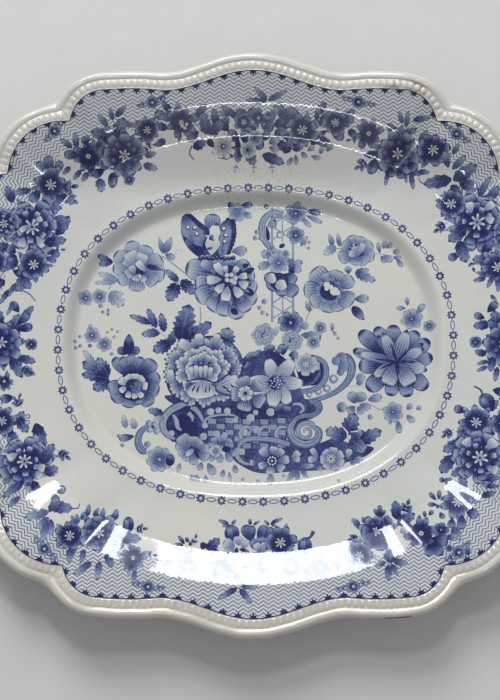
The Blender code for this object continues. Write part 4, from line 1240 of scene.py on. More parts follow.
def corner_top_left():
    """The flowers of the top left corner lobe."""
    lace(-113, 119.4, 55, 12)
    lace(-57.6, 136.4, 18, 13)
    leaves(RIM_PALE, (-103, 110, -109.6, 115.2, 4.4), (-100.6, 110, -101.4, 119.6, 4.6),
           (-83, 122.6, -88.4, 129.6, 4.4), (-80, 126, -81.6, 133, 3.6), (-78.6, 128, -72.4, 134.6, 4.2),
           (-74.6, 124.6, -66, 123, 3.8), (-126, 86, -137.4, 83.4, 5))
    leaves(DARK, (-80, 116.4, -92.6, 119.8, 8.4), (-79, 116, -73.4, 127.8, 8.6),
           (-78, 114, -84.6, 123.4, 6), (-112, 60.6, -104.6, 72.4, 7.4))
    leaves(MID, (-120, 82, -111.4, 73, 6.4), (-87.6, 94, -86.6, 85.6, 6.6))
    leaves(RIM_PALE, (-94, 97, -97.6, 91.6, 4), (-98, 98, -102.4, 92.4, 3.6), (-104, 99.6, -108.4, 95, 3.6))
    rim_eye(-94, 106, 9.6, 20)
    petals(RIM_PALE, (-99, 106, -107.6, 106.4, 5.6), (-94, 112, -96.6, 117.4, 5.6),
           (-90, 110, -84.6, 114.6, 5.6), (-92, 100, -91.6, 94.6, 5))
    rim_daisy(-60.4, 121, 7.4, 12)
    rim_dahlia(-73.6, 107, 13.4, 8)
    leaves(MID, (-63, 102, -54.6, 99.4, 5.4), (-62, 106.6, -55.4, 108.6, 4.4))
    petals(DARK, (-85, 99, -91.6, 95, 5.4))
    bud(-79.8, 97.4, -80.6, 88.4, 5.6)
    blossom(-71, 93.4, 3.4, 10, 5, RIM_PALE)
    sprig(-61, 112, 15, 5.4, 1)
    sprig(-110, 87, 12, 9, 2)
    sprig(-108, 84, -30, 8, 2)
    petals(RIM_PALE, (-115, 96, -116.6, 105.4, 5.6), (-117, 95, -122.6, 101.6, 5.4),
           (-112, 95, -109.4, 102.6, 5))
    rim_daisy(-115, 89, 10, 30)
    petals(RIM_PALE, (-121, 86, -126.6, 79.4, 6), (-112, 84, -108.4, 78.4, 4.4),
           (-109, 88, -103.6, 88.4, 4.6))


def side_left():
    """The flowers down the left end lobe."""
    leaves(DARK, (-120, 78, -108.6, 76.4, 6.4), (-110, 84, -101.6, 79, 5.6), (-136, 78, -140, 88, 6.4),
           (-113, 64, -105, 66.4, 5.6), (-137, 52, -146, 54, 6.4), (-131, 12, -124, 20, 5),
           (-146, 12, -150, 22, 6.4), (-143, -14, -147.6, -22, 6), (-134, -48, -128, -40, 5.8),
           (-143, -52, -150, -48, 6), (-120, 50, -113, 52.6, 5), (-140, 34, -147, 30, 6))
    petals(RIM_MID, (-132, 16, -136.6, 22, 5), (-130, -16, -124, -19, 5), (-134, -32, -141, -34, 5.4),
           (-150, 28, -156, 32, 6), (-116, 52, -110, 49, 5), (-136, 40, -128, 36.6, 5.4))
    rim_mum(-125.6, 65, 16.5, 5)
    petals(WHITE, (-124, 68, -119.6, 70.4, 3.4), (-127, 66, -132.6, 62, 3.4), (-123, 60, -118.4, 53.6, 5),
           (-130, 59, -131.6, 53, 5.4))
    leaves(DARK, (-119, 56, -106, 58.4, 7), (-133, 46, -141.6, 40.6, 7.4), (-127, 37, -134.4, 28, 8.4),
           (-131, 39, -126, 29.4, 6))
    petals(RIM_PALE, (-118, 48, -111.8, 46, 4), (-134, 50, -139.6, 52.6, 5.4))
    bud(-133.6, 47.6, -139.4, 46, 5)
    sprig(-113, 52.6, 0, 5.4, 1)
    rim_daisy(-124.4, 43.6, 9.4, 15)
    sheet.ribbon([(-130, 28.4), (-126.4, 26.6), (-123, 22.6)], [0.9, 0.6], MID)
    leaves(RIM_PALE, (-134, 33, -138.6, 24.6, 3.4), (-138, 29, -142.6, 20.4, 3.4),
           (-134.6, 22, -139, 14, 3))
    # middle group
    leaves(DARK, (-136, 4, -132, 15.4, 7.6), (-137, -7, -129.4, -21.4, 7.6), (-132, -9.6, -122.2, -12, 5.8),
           (-143, 8, -143.4, 17.4, 7))
    petals(DARK, (-133, 6, -124.4, 8.6, 5.2), (-133, 9, -126.2, 15.6, 4.8))
    rim_dahlia(-141.5, -1.5, 13, 5)
    rim_dahlia(-157, 6, 9, 20)
    rim_daisy(-155, -12, 8, 20)
    blossom(-125, -2, 3.6, 45, 4, RIM_PALE)
    sprig(-131.6, -15, -25, 8.4, 2)
    rim_eye(-139.4, -23.4, 5.6, 10, 6)
    leaves(DARK, (-147, -20, -151.4, -28.4, 6.4), (-149, 16, -154.6, 23.4, 6.4), (-165, 0, -166.4, 9, 5.4))
    sprig(-129.4, -38, 130, 7, 2)
    sprig(-133.4, -36, 60, 6, 1)
    # lower group
    leaves(DARK, (-131.6, -43.4, -125.8, -52.2, 7.4), (-136.4, -52.4, -131, -56.6, 6),
           (-121.6, -46.6, -116.6, -61.4, 8.4))
    rim_daisy(-140, -46, 8.6, 10)
    for x, y in ((-126, -43), (-126.2, -46.4)):
        sheet.disc(x, y, 1.5, (0.6, 0.6, 0.7), steps=10)
        sheet.disc(x, y, 0.9, (0.1, 0.1, 0.2), steps=8)
    rim_mum(-141, 66, 9, 30)
    rim_daisy(-146, 44, 8, 0)
    rim_mum(-148, -60, 9, 30)


def corner_bottom_left():
    """The flowers of the bottom left corner lobe."""
    lace(-114.6, -117, -45, 13)
    lace(-57.6, -137.6, -10, 14)
    rim_mum(-127, -68.4, 15, 12)
    leaves(DARK, (-117.6, -69.6, -111.2, -57.8, 7), (-116, -75, -108.6, -71.6, 7.4),
           (-122, -79, -119, -87.6, 6))
    petals(WHITE, (-131, -64, -136.4, -67.4, 4.4), (-121, -71, -115.6, -72.4, 5),
           (-121, -74, -117.6, -77.4, 4.4))
    sprig(-109.6, -61.6, -35, 8, 2)
    petals(RIM_PALE, (-110, -84, -104, -84, 5.2), (-112, -86, -108.2, -91, 4.6))
    leaves(RIM_PALE, (-126.6, -79, -138.4, -88.8, 5.4), (-129, -88, -135, -94, 3.8))
    leaves(DARK, (-112.4, -93.4, -99.6, -94.6, 7.8), (-112.6, -96.6, -107.4, -88, 5.4))
    leaves(MID, (-112.6, -96.4, -126, -99.8, 6.6), (-112.4, -99.6, -119.8, -106, 4.6),
           (-111.6, -100.4, -110.4, -109.8, 4), (-113.6, -101, -115.6, -113.8, 5))
    sheet.ribbon([(-101, -94.6), (-97, -94.2), (-96, -91.4)], [0.9, 0.5], MID)
    rim_daisy(-101, -109.6, 8.8, 20)
    leaves(RIM_PALE, (-97.6, -103, -100.6, -98.4, 3.2), (-96.6, -103, -97.6, -97.4, 3),
           (-95, -101, -93.4, -96, 3), (-92, -99, -90.8, -92, 3.6), (-88.4, -99, -85.6, -94, 3.2),
           (-77, -101, -75.6, -94.6, 4.4))
    leaves(DARK, (-76.4, -110, -61.6, -111.4, 7.8), (-80.6, -118.6, -77.4, -127.4, 5.4))
    rim_dahlia(-85, -108, 11.8, 14)
    petals(RIM_PALE, (-78, -112, -71.4, -115.8, 5), (-78, -116, -75, -121.4, 5))
    bud(-69, -107.6, -69.2, -98.8, 6.2)
    sprig(-66, -105.6, 0, 6.6, 2)
    rim_eye(-66, -121.8, 7.8, 8)
    sprig(-59, -119.4, -10, 5.4, 1)
    leaves(MID, (-84.2, -123.6, -85.4, -134, 4.8), (-88.4, -124, -98.6, -131, 5),
           (-65, -128.6, -65.4, -136, 3.6))
    leaves(RIM_PALE, (-100, -116, -101.4, -124.6, 5), (-93, -117, -94.6, -125, 4))


def corner_top_right():
    """The flowers of the top right corner lobe."""
    lace(60, 136.6, -14, 15)
    lace(115.6, 117.6, -40, 13)
    leaves(DARK, (82.6, 116, 76.4, 124.4, 6.4), (84, 117, 93.4, 121.4, 5.4), (63, 107.6, 77.4, 107, 5.4),
           (88, 98.4, 96.6, 95.6, 5))
    leaves(RIM_PALE, (87, 122, 88.4, 131.4, 3.8), (85, 124, 83, 131.4, 3.4), (91, 126, 101, 127.6, 4.2),
           (94.6, 114, 99.4, 121, 4))
    rim_eye(66, 119, 8.8, 15)
    sprig(59.6, 116.6, 190, 5.6, 1)
    rim_dahlia(82.4, 107.8, 13.4, 20)
    petals(RIM_MID, (78, 101, 79.2, 94.6, 5.6), (83, 100, 84.8, 93.6, 5), (88, 103, 93.4, 98.2, 5.6))
    bud(70.6, 104.6, 66.4, 96.4, 6.4)
    sprig(65.6, 104.6, 215, 8, 2)
    leaves(RIM_PALE, (77.2, 98.4, 75.4, 89.8, 3.2), (86.4, 97.4, 87.6, 91, 2.8), (89.8, 97, 91.4, 87, 3.6),
           (94, 97.4, 100.6, 96.4, 3.8))
    rim_daisy(102.4, 109, 9.6, 0)
    petals(RIM_MID, (100, 112, 99.6, 118.4, 5.6), (106, 110, 112, 110.4, 5), (99, 106, 94.6, 102.6, 4.6))
    leaves(RIM_PALE, (113.4, 106, 117, 112.4, 4), (113, 97.6, 121, 105.4, 4.8),
           (111, 98.6, 108.4, 108.6, 4.4))
    leaves(DARK, (113, 92.2, 96.8, 90, 8.4), (113.6, 91.4, 127.2, 100.2, 8.6),
           (117, 90.4, 128.4, 86.4, 7.6), (112.4, 89, 118.4, 83, 6))
    sheet.ribbon([(98.4, 90.2), (95.4, 91.4), (94.4, 94)], [0.9, 0.5], MID)
    leaves(RIM_PALE, (127.6, 82, 135, 93.6, 4.8), (130.6, 80.6, 138, 84.4, 4))


def side_right():
    """The flowers down the right end lobe."""
    leaves(DARK, (119, 74, 108.6, 70, 6.4), (134, 80, 139, 88, 6.4), (137, 54, 146, 55, 6.4),
           (131, -8, 124.6, -5.6, 5), (146, 12, 150, 22, 6.4), (143, -14, 147.6, -22, 6),
           (134, -50, 128, -58, 5.8), (143, -52, 150, -48, 6), (118, -72, 110, -76, 6),
           (140, 36, 147, 30, 6), (131, -40, 137, -34, 5.6))
    petals(RIM_MID, (132, 16, 137.6, 22, 5), (134, -28, 141, -30, 5.4), (150, 28, 156, 32, 6),
           (117, 50, 111, 47, 5), (128, 56, 121, 52.6, 5.4), (119, -40, 112.6, -38, 5))
    rim_mum(127, 67.6, 16.5, 12)
    rim_daisy(112.8, 78.8, 9, 10)
    petals(WHITE, (131, 70, 136.4, 67.4, 4.4), (124, 73, 122.4, 79.8, 5), (131, 74, 136.6, 78.4, 5))
    sprig(110.4, 68, 215, 8, 2)
    leaves(DARK, (121, 65, 110.8, 57, 8.4), (116.6, 57.6, 121, 44.6, 8.6), (135, 45.6, 124, 46.6, 7.6),
           (130, 50, 136, 56.6, 6.4))
    rim_daisy(138, 41.6, 9.4, 12)
    leaves(RIM_PALE, (131.6, 35.6, 124.4, 34.4, 3.6), (132, 38, 126, 39, 2.8), (136, 37, 132, 30, 3.6),
           (139, 36, 138, 27.4, 3.4), (134, 26, 137.4, 22.4, 2.6))
    sprig(123, 46, 290, 6, 1)
    # middle group
    leaves(DARK, (133.4, 9.4, 124, 8.4, 6.4), (137, 6, 136, 17.4, 7.6), (143.6, 12, 146, 20.6, 6.4))
    petals(RIM_PALE, (130.6, 12.6, 124.8, 15.2, 4.4))
    rim_dahlia(141, -2, 13, 15)
    rim_dahlia(157, 6, 9, 20)
    rim_daisy(154, -13, 8, 20)
    blossom(125.2, -0.8, 3.6, 45, 4, RIM_PALE)
    leaves(RIM_PALE, (132, -11.6, 125.6, -13.4, 3.2), (131.6, -14.6, 125.4, -17.4, 3.2),
           (137, -15, 135.4, -23.6, 4))
    leaves(DARK, (134.6, -9, 133, -18, 5.4), (149, -20, 153.4, -28.4, 6.4), (150, 17, 155.6, 24.4, 6.4))
    bud(133.6, -38.4, 127.6, -30.6, 8.8)
    sheet.ribbon([(128.6, -31.6), (127.4, -28), (123.8, -25.8)], [1.2, 0.9], RIM_MID)
    # lower group
    leaves(DARK, (119.4, -47.6, 115.6, -57.6, 8.6), (115.6, -57.2, 105.8, -62.6, 7.6),
           (111, -64.6, 104.4, -75, 8.4), (139, -36, 141.6, -27.6, 6))
    rim_daisy(124.6, -46.4, 9.6, 5)
    sprig(112, -50, 215, 7, 2)
    rim_daisy(140, -47, 9, 25)
    rim_mum(126, -66.4, 15.5, 0)
    petals(WHITE, (121, -60, 117.6, -55.4, 5.4), (130, -61, 135.4, -56.4, 6.4),
           (131, -72, 135.4, -74.4, 5.4))
    rim_mum(144, 60, 9, 10)
    rim_daisy(148, 34, 7, 10)
    rim_mum(144, -62, 9, 10)


def corner_bottom_right():
    """The flowers of the bottom right corner lobe."""
    lace(112.6, -119, 40, 13)
    lace(54.6, -137.4, 12, 14)
    leaves(DARK, (114, -84.6, 106.8, -77.4, 7), (114.6, -85, 117.6, -77.4, 6.4),
           (126, -88, 134, -85.6, 4.6), (128, -79, 137, -77.6, 3.6), (128.6, -82.6, 136.4, -82.4, 3))
    petals(RIM_PALE, (107, -79, 103.4, -78.2, 3.2), (101.4, -90, 97.8, -85.6, 2.8),
           (102.6, -89.6, 103.4, -84.4, 2.8), (101.6, -92.2, 96.6, -92.4, 2.8), (103, -92.6, 101, -94, 2.6),
           (103, -96.6, 105, -100.4, 3.4), (97, -98.4, 99.4, -95.6, 2.8), (95, -99.6, 94.6, -95.8, 2.4))
    rim_daisy(113, -91, 9.6, 20)
    petals(RIM_PALE, (116, -88, 122.4, -85.8, 5.6), (117, -95, 123.6, -99.4, 6),
           (109.6, -100, 108.8, -105.6, 4.8), (114.8, -98, 114.4, -106.4, 5.2))
    leaves(MID, (109.6, -104.6, 113.8, -112.6, 6), (106, -111, 112.6, -109.6, 4))
    blossom(103.4, -106.4, 4.4, 0, 5, RIM_PALE)
    rim_eye(92.6, -108.2, 9.4, 15)
    petals(RIM_PALE, (98, -111, 107, -113.4, 6.4), (98, -113, 103.4, -120.4, 6.4),
           (97, -114, 96.6, -121, 5.4))
    blossom(107.4, -116.6, 2.2, 0, 5, MID)
    leaves(DARK, (79.6, -100.6, 78.8, -89.8, 6.6), (79.6, -103.4, 89.6, -97, 7.4),
           (83, -102, 87.4, -107.6, 5.4))
    sprig(83.6, -97.6, 70, 7.6, 2)
    petals(WHITE, (81, -108, 85.8, -105, 5))
    rim_dahlia(68, -107, 10.4, 10)
    petals(RIM_PALE, (67, -108, 59.4, -107, 7), (68, -111, 61, -115.4, 6.6), (69.6, -111, 70.6, -118, 7),
           (72.6, -103, 76, -99.4, 6))
    petals(RIM_MID, (70.2, -99.6, 70.2, -92.4, 3), (69.6, -99, 67, -94.6, 2.4),
           (70.8, -99, 73.2, -95.2, 2.4))
    leaves(RIM_PALE, (59, -103.6, 54.4, -100, 4), (61.4, -102.6, 60.6, -98.6, 2.6))
    sprig(59, -109.6, 200, 6.4, 2)
    rim_daisy(58.4, -120.6, 8, 10)
    leaves(DARK, (74.6, -124.6, 76, -116.8, 8.6))
    leaves(RIM_PALE, (76.6, -123.6, 84.8, -125, 5), (75.4, -125, 79.2, -131.6, 3.8),
           (74, -125.6, 73.6, -134.6, 4.6), (72.6, -124, 66.8, -126, 3.6), (117.6, -121, 117, -113.6, 3.6))


def bottom_spray():
    """The flowers of the bottom lobe."""
    leaves(RIM_PALE, (-8.6, -138, -19.4, -144.4, 4.2), (-7.6, -138.4, -0.8, -146.8, 4.2))
    leaves(MID, (-6.6, -137.6, 2.8, -137.4, 3.6))
    petals(RIM_PALE, (-38, -114, -41.4, -109.4, 2.3), (-36, -113, -37.2, -110.2, 2.3),
           (-38.6, -115, -43.2, -113.8, 2.3), (-40, -117, -46, -117.4, 2.3),
           (-35, -115, -34.2, -112.2, 2.3), (-36, -118, -31.4, -117.6, 2.3), form=OVAL, vein=0.3)
    sprig(-33, -114.6, 75, 5.4, 1)
    leaves(DARK, (-25.6, -117.6, -18.6, -110.8, 6.8), (-23, -117, -18.6, -121.4, 5.4))
    petals(DEEP, (-28.6, -117, -26.6, -113.2, 4.2))
    leaves(RIM_PALE, (-13.4, -103, -19.4, -100.6, 3), (-12.4, -103.6, -17.4, -104.2, 2.2),
           (-12, -103, -9.4, -100.4, 2.4))
    bud(-11.2, -112.4, -12.4, -103.2, 8.4)
    petals(PALER, (-10, -116, -16.4, -112.6, 6.4), (-10, -117, -15.4, -119.8, 6),
           (-8, -115, -8.6, -109.4, 5.4), (-6, -117, -4, -111.6, 4.6))
    petals(DARK, (-8, -116.6, -2.4, -118.4, 2.4), (-9, -115.6, -9.6, -120.6, 2.6))
    petals((1, 0.5, 0.9), (-1, -112.6, -4.8, -103.4, 6.8), (-1, -112.6, -0.6, -103.6, 4.6),
           (2.4, -111.6, 8, -104.2, 7.4))
    petals(RIM_PALE, (6, -111, 10.8, -104.8, 4.4), (7, -112, 12, -108.6, 4))
    leaves(RIM_PALE, (-1.6, -103.4, -2, -99.8, 2.6), (0, -103.4, 3.8, -101, 2), (9, -103.6, 6, -100.8, 2.2),
           (9.6, -102.4, 16.4, -99.6, 2.6), (9.6, -102.8, 13.2, -104.2, 2))
    petals(RIM_MID, (4, -118, -1.4, -111.4, 5.6), (5, -118, 3.6, -109.6, 5.6), (6, -118, 9.6, -111.4, 5.4))
    petals(PALER, (4.6, -119, 1, -113.4, 4.6), (5.6, -119, 6.6, -112.8, 4.4))
    rim_daisy(15, -113.2, 9.4, 12)
    bud(28, -119.8, 29, -110.2, 8)
    sheet.ribbon([(30, -111), (32, -109.6), (33.4, -106.8)], [1.2, 2.2], RIM_MID)
    sprig(37.6, -118.2, 12, 6.4, 2, PALER)
    # the row nearest the edge
    rim_dahlia(-36, -126, 7.6, 5)
    rim_eye(-18, -127, 7.8, 10)
    rim_mum(0.6, -126.4, 8.6, 0)
    rim_daisy(20.4, -126.4, 7.6, 20)
    rim_eye(37, -127, 7, 0)
    leaves(DARK, (-27, -127, -28.4, -134.6, 5.4), (-9, -130, -8.6, -136.4, 5),
           (11.4, -128, 11, -135.4, 5.4), (29, -127, 30, -134, 5), (-44, -125, -51.4, -123.4, 5.4),
           (44, -125.6, 51, -124.4, 5.4))


def border():
    """All the flowers on the rim."""
    top_spray()
    corner_top_left()
    side_left()
    corner_bottom_left()
    corner_top_right()
    side_right()
    corner_bottom_right()
    bottom_spray()


# --- printing it all ----------------------------------------------------------------------------
GROUND_STEPS = 120
SIDE_GROUND_DEPTH, CORNER_GROUND_DEPTH, GROUND_SWELL = 23.5, 20.5, 2.2
TOOTH_SPACING = 8.4
TOOTH = ((-3.2, -0.1), (3.2, -0.1), (1.5, 0.6), (2.1, 1.9), (0.65, 1.4), (0.0, 3.2),
         (-0.65, 1.4), (-2.1, 1.9), (-1.5, 0.6))     # along the line and inward
TOOTH_INK = (1.1, 1.1, 1.1)


def ground_zones():
    """The eight fields of zigzag inside the printed line, mitred along the notches' rays."""
    for index, (start, end) in enumerate(lobe_bounds()):
        theta = np.linspace(start, end, GROUND_STEPS)
        middle = 0.5 * (start + end)
        outer = edge_radius(theta, -0.0007) / MM
        depth = SIDE_GROUND_DEPTH if index % 2 == 1 else CORNER_GROUND_DEPTH
        swell = GROUND_SWELL * np.sin(np.linspace(0, 5 * math.pi, GROUND_STEPS))
        inner = outer - depth - swell
        outline = np.vstack((on_plan(theta, outer), on_plan(theta, inner)[::-1]))
        if index % 2 == 0:      # a corner lobe: rows run square to its middle ray
            direction = np.array([math.cos(middle), math.sin(middle)])
        else:                   # a side or end lobe: rows run along the side
            vertical = abs(math.sin(middle)) > 0.7
            direction = np.array([0.0, np.sign(math.sin(middle))]) if vertical else np.array(
                [np.sign(math.cos(middle)), 0.0])
        sheet.add(outline, (0.0, 0.0, direction[0], direction[1], 1.0, 1.0), (0.5, 0.5, 0.5), EVEN,
                  0.0, ZIGZAG)


def dentils():
    """Small three-pointed teeth that hang inward from the printed line."""
    for start, end in lobe_bounds():
        fine = np.linspace(start, end, 500)
        radius = edge_radius(fine, -0.0005) / MM
        x, y = radius * np.cos(fine), radius * np.sin(fine)
        run = run_along(x, y)
        count = round(run[-1] / TOOTH_SPACING)
        for place in (np.arange(count) + 0.5) * run[-1] / count:
            at = np.array([np.interp(place, run, x), np.interp(place, run, y)])
            ahead = np.array([np.interp(place + 0.8, run, x), np.interp(place + 0.8, run, y)])
            along = (ahead - at) / np.hypot(*(ahead - at))
            inward = np.array([-along[1], along[0]])
            outline = [at + along * s + inward * d for s, d in TOOTH]
            sheet.add(outline, (at[0], at[1], 1, 0, 4, 4), TOOTH_INK, EVEN)


def cut_print(grid):
    """Cuts all shapes and grid points into one triangle mesh; returns points, triangles and the
    number of the shape that shows on each triangle."""
    points, polygons = [], []
    for outline in sheet.outlines:
        polygons.append(list(range(len(points), len(points) + len(outline))))
        points.extend(map(tuple, outline))
    points.extend(map(tuple, grid))
    made = delaunay_2d_cdt([Vector(p) for p in points], [], polygons, 0, 1e-5, True)
    vertices = np.array([tuple(v) for v in made[0]])
    triangles, shapes = [], []
    for face, sources in zip(made[2], made[5]):
        if len(face) == 3 and 0 in sources:
            triangles.append(face)
            shapes.append(max(sources))
    return vertices, np.array(triangles), np.array(shapes)


def circle(count, turn=0.0):
    """Evenly spaced angles round the platter."""
    return np.linspace(0.0, 2.0 * math.pi, count, endpoint=False) + turn


def face_grid():
    """Extra points so that the surface keeps its curves between the shapes, closer at the cavetto."""
    inside = -0.0009        # the grid stops this far inside the printed line
    points = []
    for share, count in ((0.25, 24), (0.5, 48), (0.75, 72)):
        theta = circle(count)
        points.append(on_plan(theta, oval_radius(theta, WELL_FLOOR) / MM * share))
    points.append(np.zeros((1, 2)))
    for share in np.linspace(0.92, 1.0, 3)[:-1]:
        theta = circle(160)
        points.append(on_plan(theta, oval_radius(theta, WELL_FLOOR) / MM * share))
    for share in np.linspace(0.0, 1.0, 19):
        theta = circle(240, share * 0.4)
        floor, start = oval_radius(theta, WELL_FLOOR), oval_radius(theta, RIM_START)
        points.append(on_plan(theta, (floor + (start - floor) * share) / MM))
    for share in np.linspace(0.0, 1.0, 20)[1:-1]:
        theta = circle(260, share * 0.7)
        start, line = oval_radius(theta, RIM_START), edge_radius(theta, inside)
        points.append(on_plan(theta, (start + (line - start) * share) / MM))
    for out in np.linspace(0.0225, 0.0515, 21):
        theta = circle(300, 8.0 * out)
        start, line = oval_radius(theta, RIM_START), edge_radius(theta, inside)
        kept = start + out < line - 0.001
        points.append(on_plan(theta[kept], (start + out)[kept] / MM))
    return np.vstack(points)


def line_ring(out):
    """The edge curve at out, in mm, at the lip's columns."""
    return on_plan(COLUMN_ANGLES, edge_radius(COLUMN_ANGLES, out) / MM)


def link_object(name, mesh, material, slot, *nodes):
    """Puts a finished mesh in the scene as a piece that stands for CAD nodes."""
    mesh.materials.append(material)
    piece = bpy.data.objects.new(name, mesh)
    bpy.context.scene.collection.objects.link(piece)
    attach(piece, "root")
    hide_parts(*nodes)
    return piece


def build_printed_face(material):
    """The upper face with its print, one mesh with the ink's values on its corners."""
    sheet.add(line_ring(0.0), (0, 0, 1, 0, 1, 1), TOOTH_INK, EVEN)
    sheet.add(line_ring(-0.00055), (0, 0, 1, 0, 1, 1), (0, 0, 0), EVEN, 0.0, CHINA)
    ground_zones()
    dentils()
    chain()
    border()
    centre()
    vertices, triangles, shapes = cut_print(face_grid())
    x, y = vertices[:, 0] * MM, vertices[:, 1] * MM
    mesh = bpy.data.meshes.new("printed_face")
    mesh.vertices.add(len(vertices))
    mesh.vertices.foreach_set("co", np.column_stack((x, y, face_height(x, y))).ravel())
    mesh.loops.add(len(triangles) * 3)
    mesh.loops.foreach_set("vertex_index", triangles.ravel().astype(np.int32))
    mesh.polygons.add(len(triangles))
    mesh.polygons.foreach_set("loop_start", np.arange(0, len(triangles) * 3, 3, dtype=np.int32))
    mesh.update(calc_edges=True)
    mesh.validate()
    place = np.array(sheet.frames)[shapes].repeat(3, axis=0)
    corner = vertices[triangles.ravel()]
    dx, dy = corner[:, 0] - place[:, 0], corner[:, 1] - place[:, 1]
    v = (dx * place[:, 2] + dy * place[:, 3]) / place[:, 4]
    u = (-dx * place[:, 3] + dy * place[:, 2]) / place[:, 5]
    ink = np.array(sheet.inks)[shapes].repeat(3, axis=0)
    form = np.array(sheet.forms)[shapes].repeat(3, axis=0)
    widest = form[:, 0] / np.maximum(form.sum(1), 1e-6)
    peak = np.where(form.sum(1) > 0, np.maximum(widest, 1e-6) ** form[:, 0] * (1 - widest) ** form[:, 1], 1.0)
    kind = np.array(sheet.kinds)[shapes].repeat(3)
    for name, values in (
        ("spot", np.column_stack((u, v, ink[:, 3]))), ("ink", ink[:, :3]),
        ("form", np.column_stack((form[:, 0], form[:, 1], 1.0 / peak))),
    ):
        layer = mesh.attributes.new(name, "FLOAT_VECTOR", "CORNER")
        layer.data.foreach_set("vector", values.astype(np.float32).ravel())
    layer = mesh.attributes.new("kind", "FLOAT", "CORNER")
    layer.data.foreach_set("value", kind.astype(np.float32))
    mesh.polygons.foreach_set("use_smooth", np.ones(len(mesh.polygons), bool))
    mesh.normals_split_custom_set_from_vertices(face_normals(x, y))
    return link_object("printed_face", mesh, material, "printed_glaze", "platter_body")


def grid_mesh(name, rings):
    """A mesh skinned over rings of points, each ring closed round the platter."""
    count = len(rings[0])
    vertices = np.vstack(rings)
    faces = []
    along = np.arange(count)
    following = (along + 1) % count
    for lower in range(len(rings) - 1):
        upper = lower + 1
        faces.append(np.column_stack((
            lower * count + along, lower * count + following, upper * count + following,
            upper * count + along)))
    mesh = bpy.data.meshes.new(name)
    mesh.from_pydata(vertices.tolist(), [], np.vstack(faces).tolist())
    mesh.polygons.foreach_set("use_smooth", np.ones(len(mesh.polygons), bool))
    return mesh


def mark_points(mesh, name, values):
    """Stores one number on each point, for the material to read."""
    layer = mesh.attributes.new(name, "FLOAT", "POINT")
    layer.data.foreach_set("value", np.asarray(values, np.float32))


def ring_points(theta, radius, height):
    """Points of one ring."""
    return np.column_stack((radius * np.cos(theta), radius * np.sin(theta), height + 0.0 * theta))


def bead_phase(out):
    """Where each column of a ring lies along the row of beads, measured square to the row."""
    row = edge_radius(COLUMN_ANGLES, BEAD_ROW)
    middle = on_plan(COLUMN_ANGLES, row)
    ahead = np.roll(middle, -1, axis=0) - np.roll(middle, 1, axis=0)
    ahead /= np.linalg.norm(ahead, axis=1)[:, None]
    points = on_plan(COLUMN_ANGLES, edge_radius(COLUMN_ANGLES, out))
    apart = points[:, None, :] - middle[None, :, :]
    nearest = np.argmin((apart ** 2).sum(axis=2), axis=1)
    beyond = ((points - middle[nearest]) * ahead[nearest]).sum(axis=1)
    return BEAD_PHASES[nearest] + beyond / BEAD_PITCH


def bead_height(out):
    """Height of the beads at each column, at the distance out from the line."""
    phase = bead_phase(out)
    number = np.floor(phase)
    share = phase - number - 0.5
    vary = 0.84 + 0.16 * np.sin(number * 12.9898 + 4.1 * np.sin(number * 0.37))
    slow = 0.72 + 0.28 * np.cos(COLUMN_ANGLES - math.radians(52.0))
    offset = (out - BEAD_ROW) / BEAD_REACH
    reach = np.clip(1.0 - (share / 0.47) ** 2 - offset ** 2, 0.0, 1.0)
    return BEAD_HEIGHT * vary * slow * reach ** 0.75


# a long chip low on the near edge: its middle and half length along x, and the lip's rings it spans
CHIP_MIDDLE, CHIP_HALF, CHIP_RINGS = 0.0788, 0.0074, (9.9, 10.5)
# the lip's section in mm, out from the printed line and above it: groove, beads, roll and underside
LIP_SECTION = (
    [(0.0, 0.0), (0.25, -0.12), (0.55, 0.02)]
    + [(out, 0.08 + 0.05 * (out - 0.8)) for out in np.linspace(0.8, 5.1, 14)]
    + [(5.3, 0.20), (5.6, 0.36), (6.0, 0.64), (6.5, 0.92), (7.1, 1.12), (7.7, 1.20)]
    + [(8.3, 1.15), (8.9, 0.95), (9.4, 0.65), (9.8, 0.27), (10.15, -0.20), (10.45, -0.80)]
    + [(10.6, -1.40), (10.65, -1.95), (10.45, -2.50), (10.05, -2.95), (9.4, -3.30), (8.4, -3.65)]
    + [(7.2, -4.05), (6.0, -4.4), (3.0, -4.65), (0.0, -4.75)]
)


def build_lip(material):
    """The bead band, the groove outside it and the rounded lip, closed underneath."""
    theta = COLUMN_ANGLES
    line = edge_radius(theta, 0.0)
    base = face_height(line * np.cos(theta), line * np.sin(theta))
    rings = []
    for out, above in LIP_SECTION:
        radius = edge_radius(theta, out * MM)
        height = base + above * MM
        if 0.7 < out < 5.2 and above > -1.0:
            height = height + bead_height(out * MM)
        wobble = 0.00010 * np.sin(theta * 23.0 + 1.3) + 0.00008 * np.sin(theta * 61.0)
        rings.append(ring_points(theta, radius + wobble * (out > 1.0), height))
    mesh = grid_mesh("beaded_lip_china", rings)
    relief = np.zeros(len(rings) * len(theta), np.float32)
    for index, (out, above) in enumerate(LIP_SECTION):
        if 0.0 <= out < 5.9 and above > -1.0:
            hollow = 1.0 - np.clip(bead_height(out * MM) / 0.0005, 0.0, 1.0)
            relief[index * len(theta):(index + 1) * len(theta)] = hollow
    mark_points(mesh, "hollow", relief)
    chip = np.concatenate([
        (np.abs(ring[:, 0] - CHIP_MIDDLE) < CHIP_HALF) & (ring[:, 1] < 0.0)
        & (CHIP_RINGS[0] < out < CHIP_RINGS[1])
        for (out, _), ring in zip(LIP_SECTION, rings)])
    mark_points(mesh, "chip", chip)
    return link_object("beaded_lip_china", mesh, material, "plain_glaze", "beaded_lip")


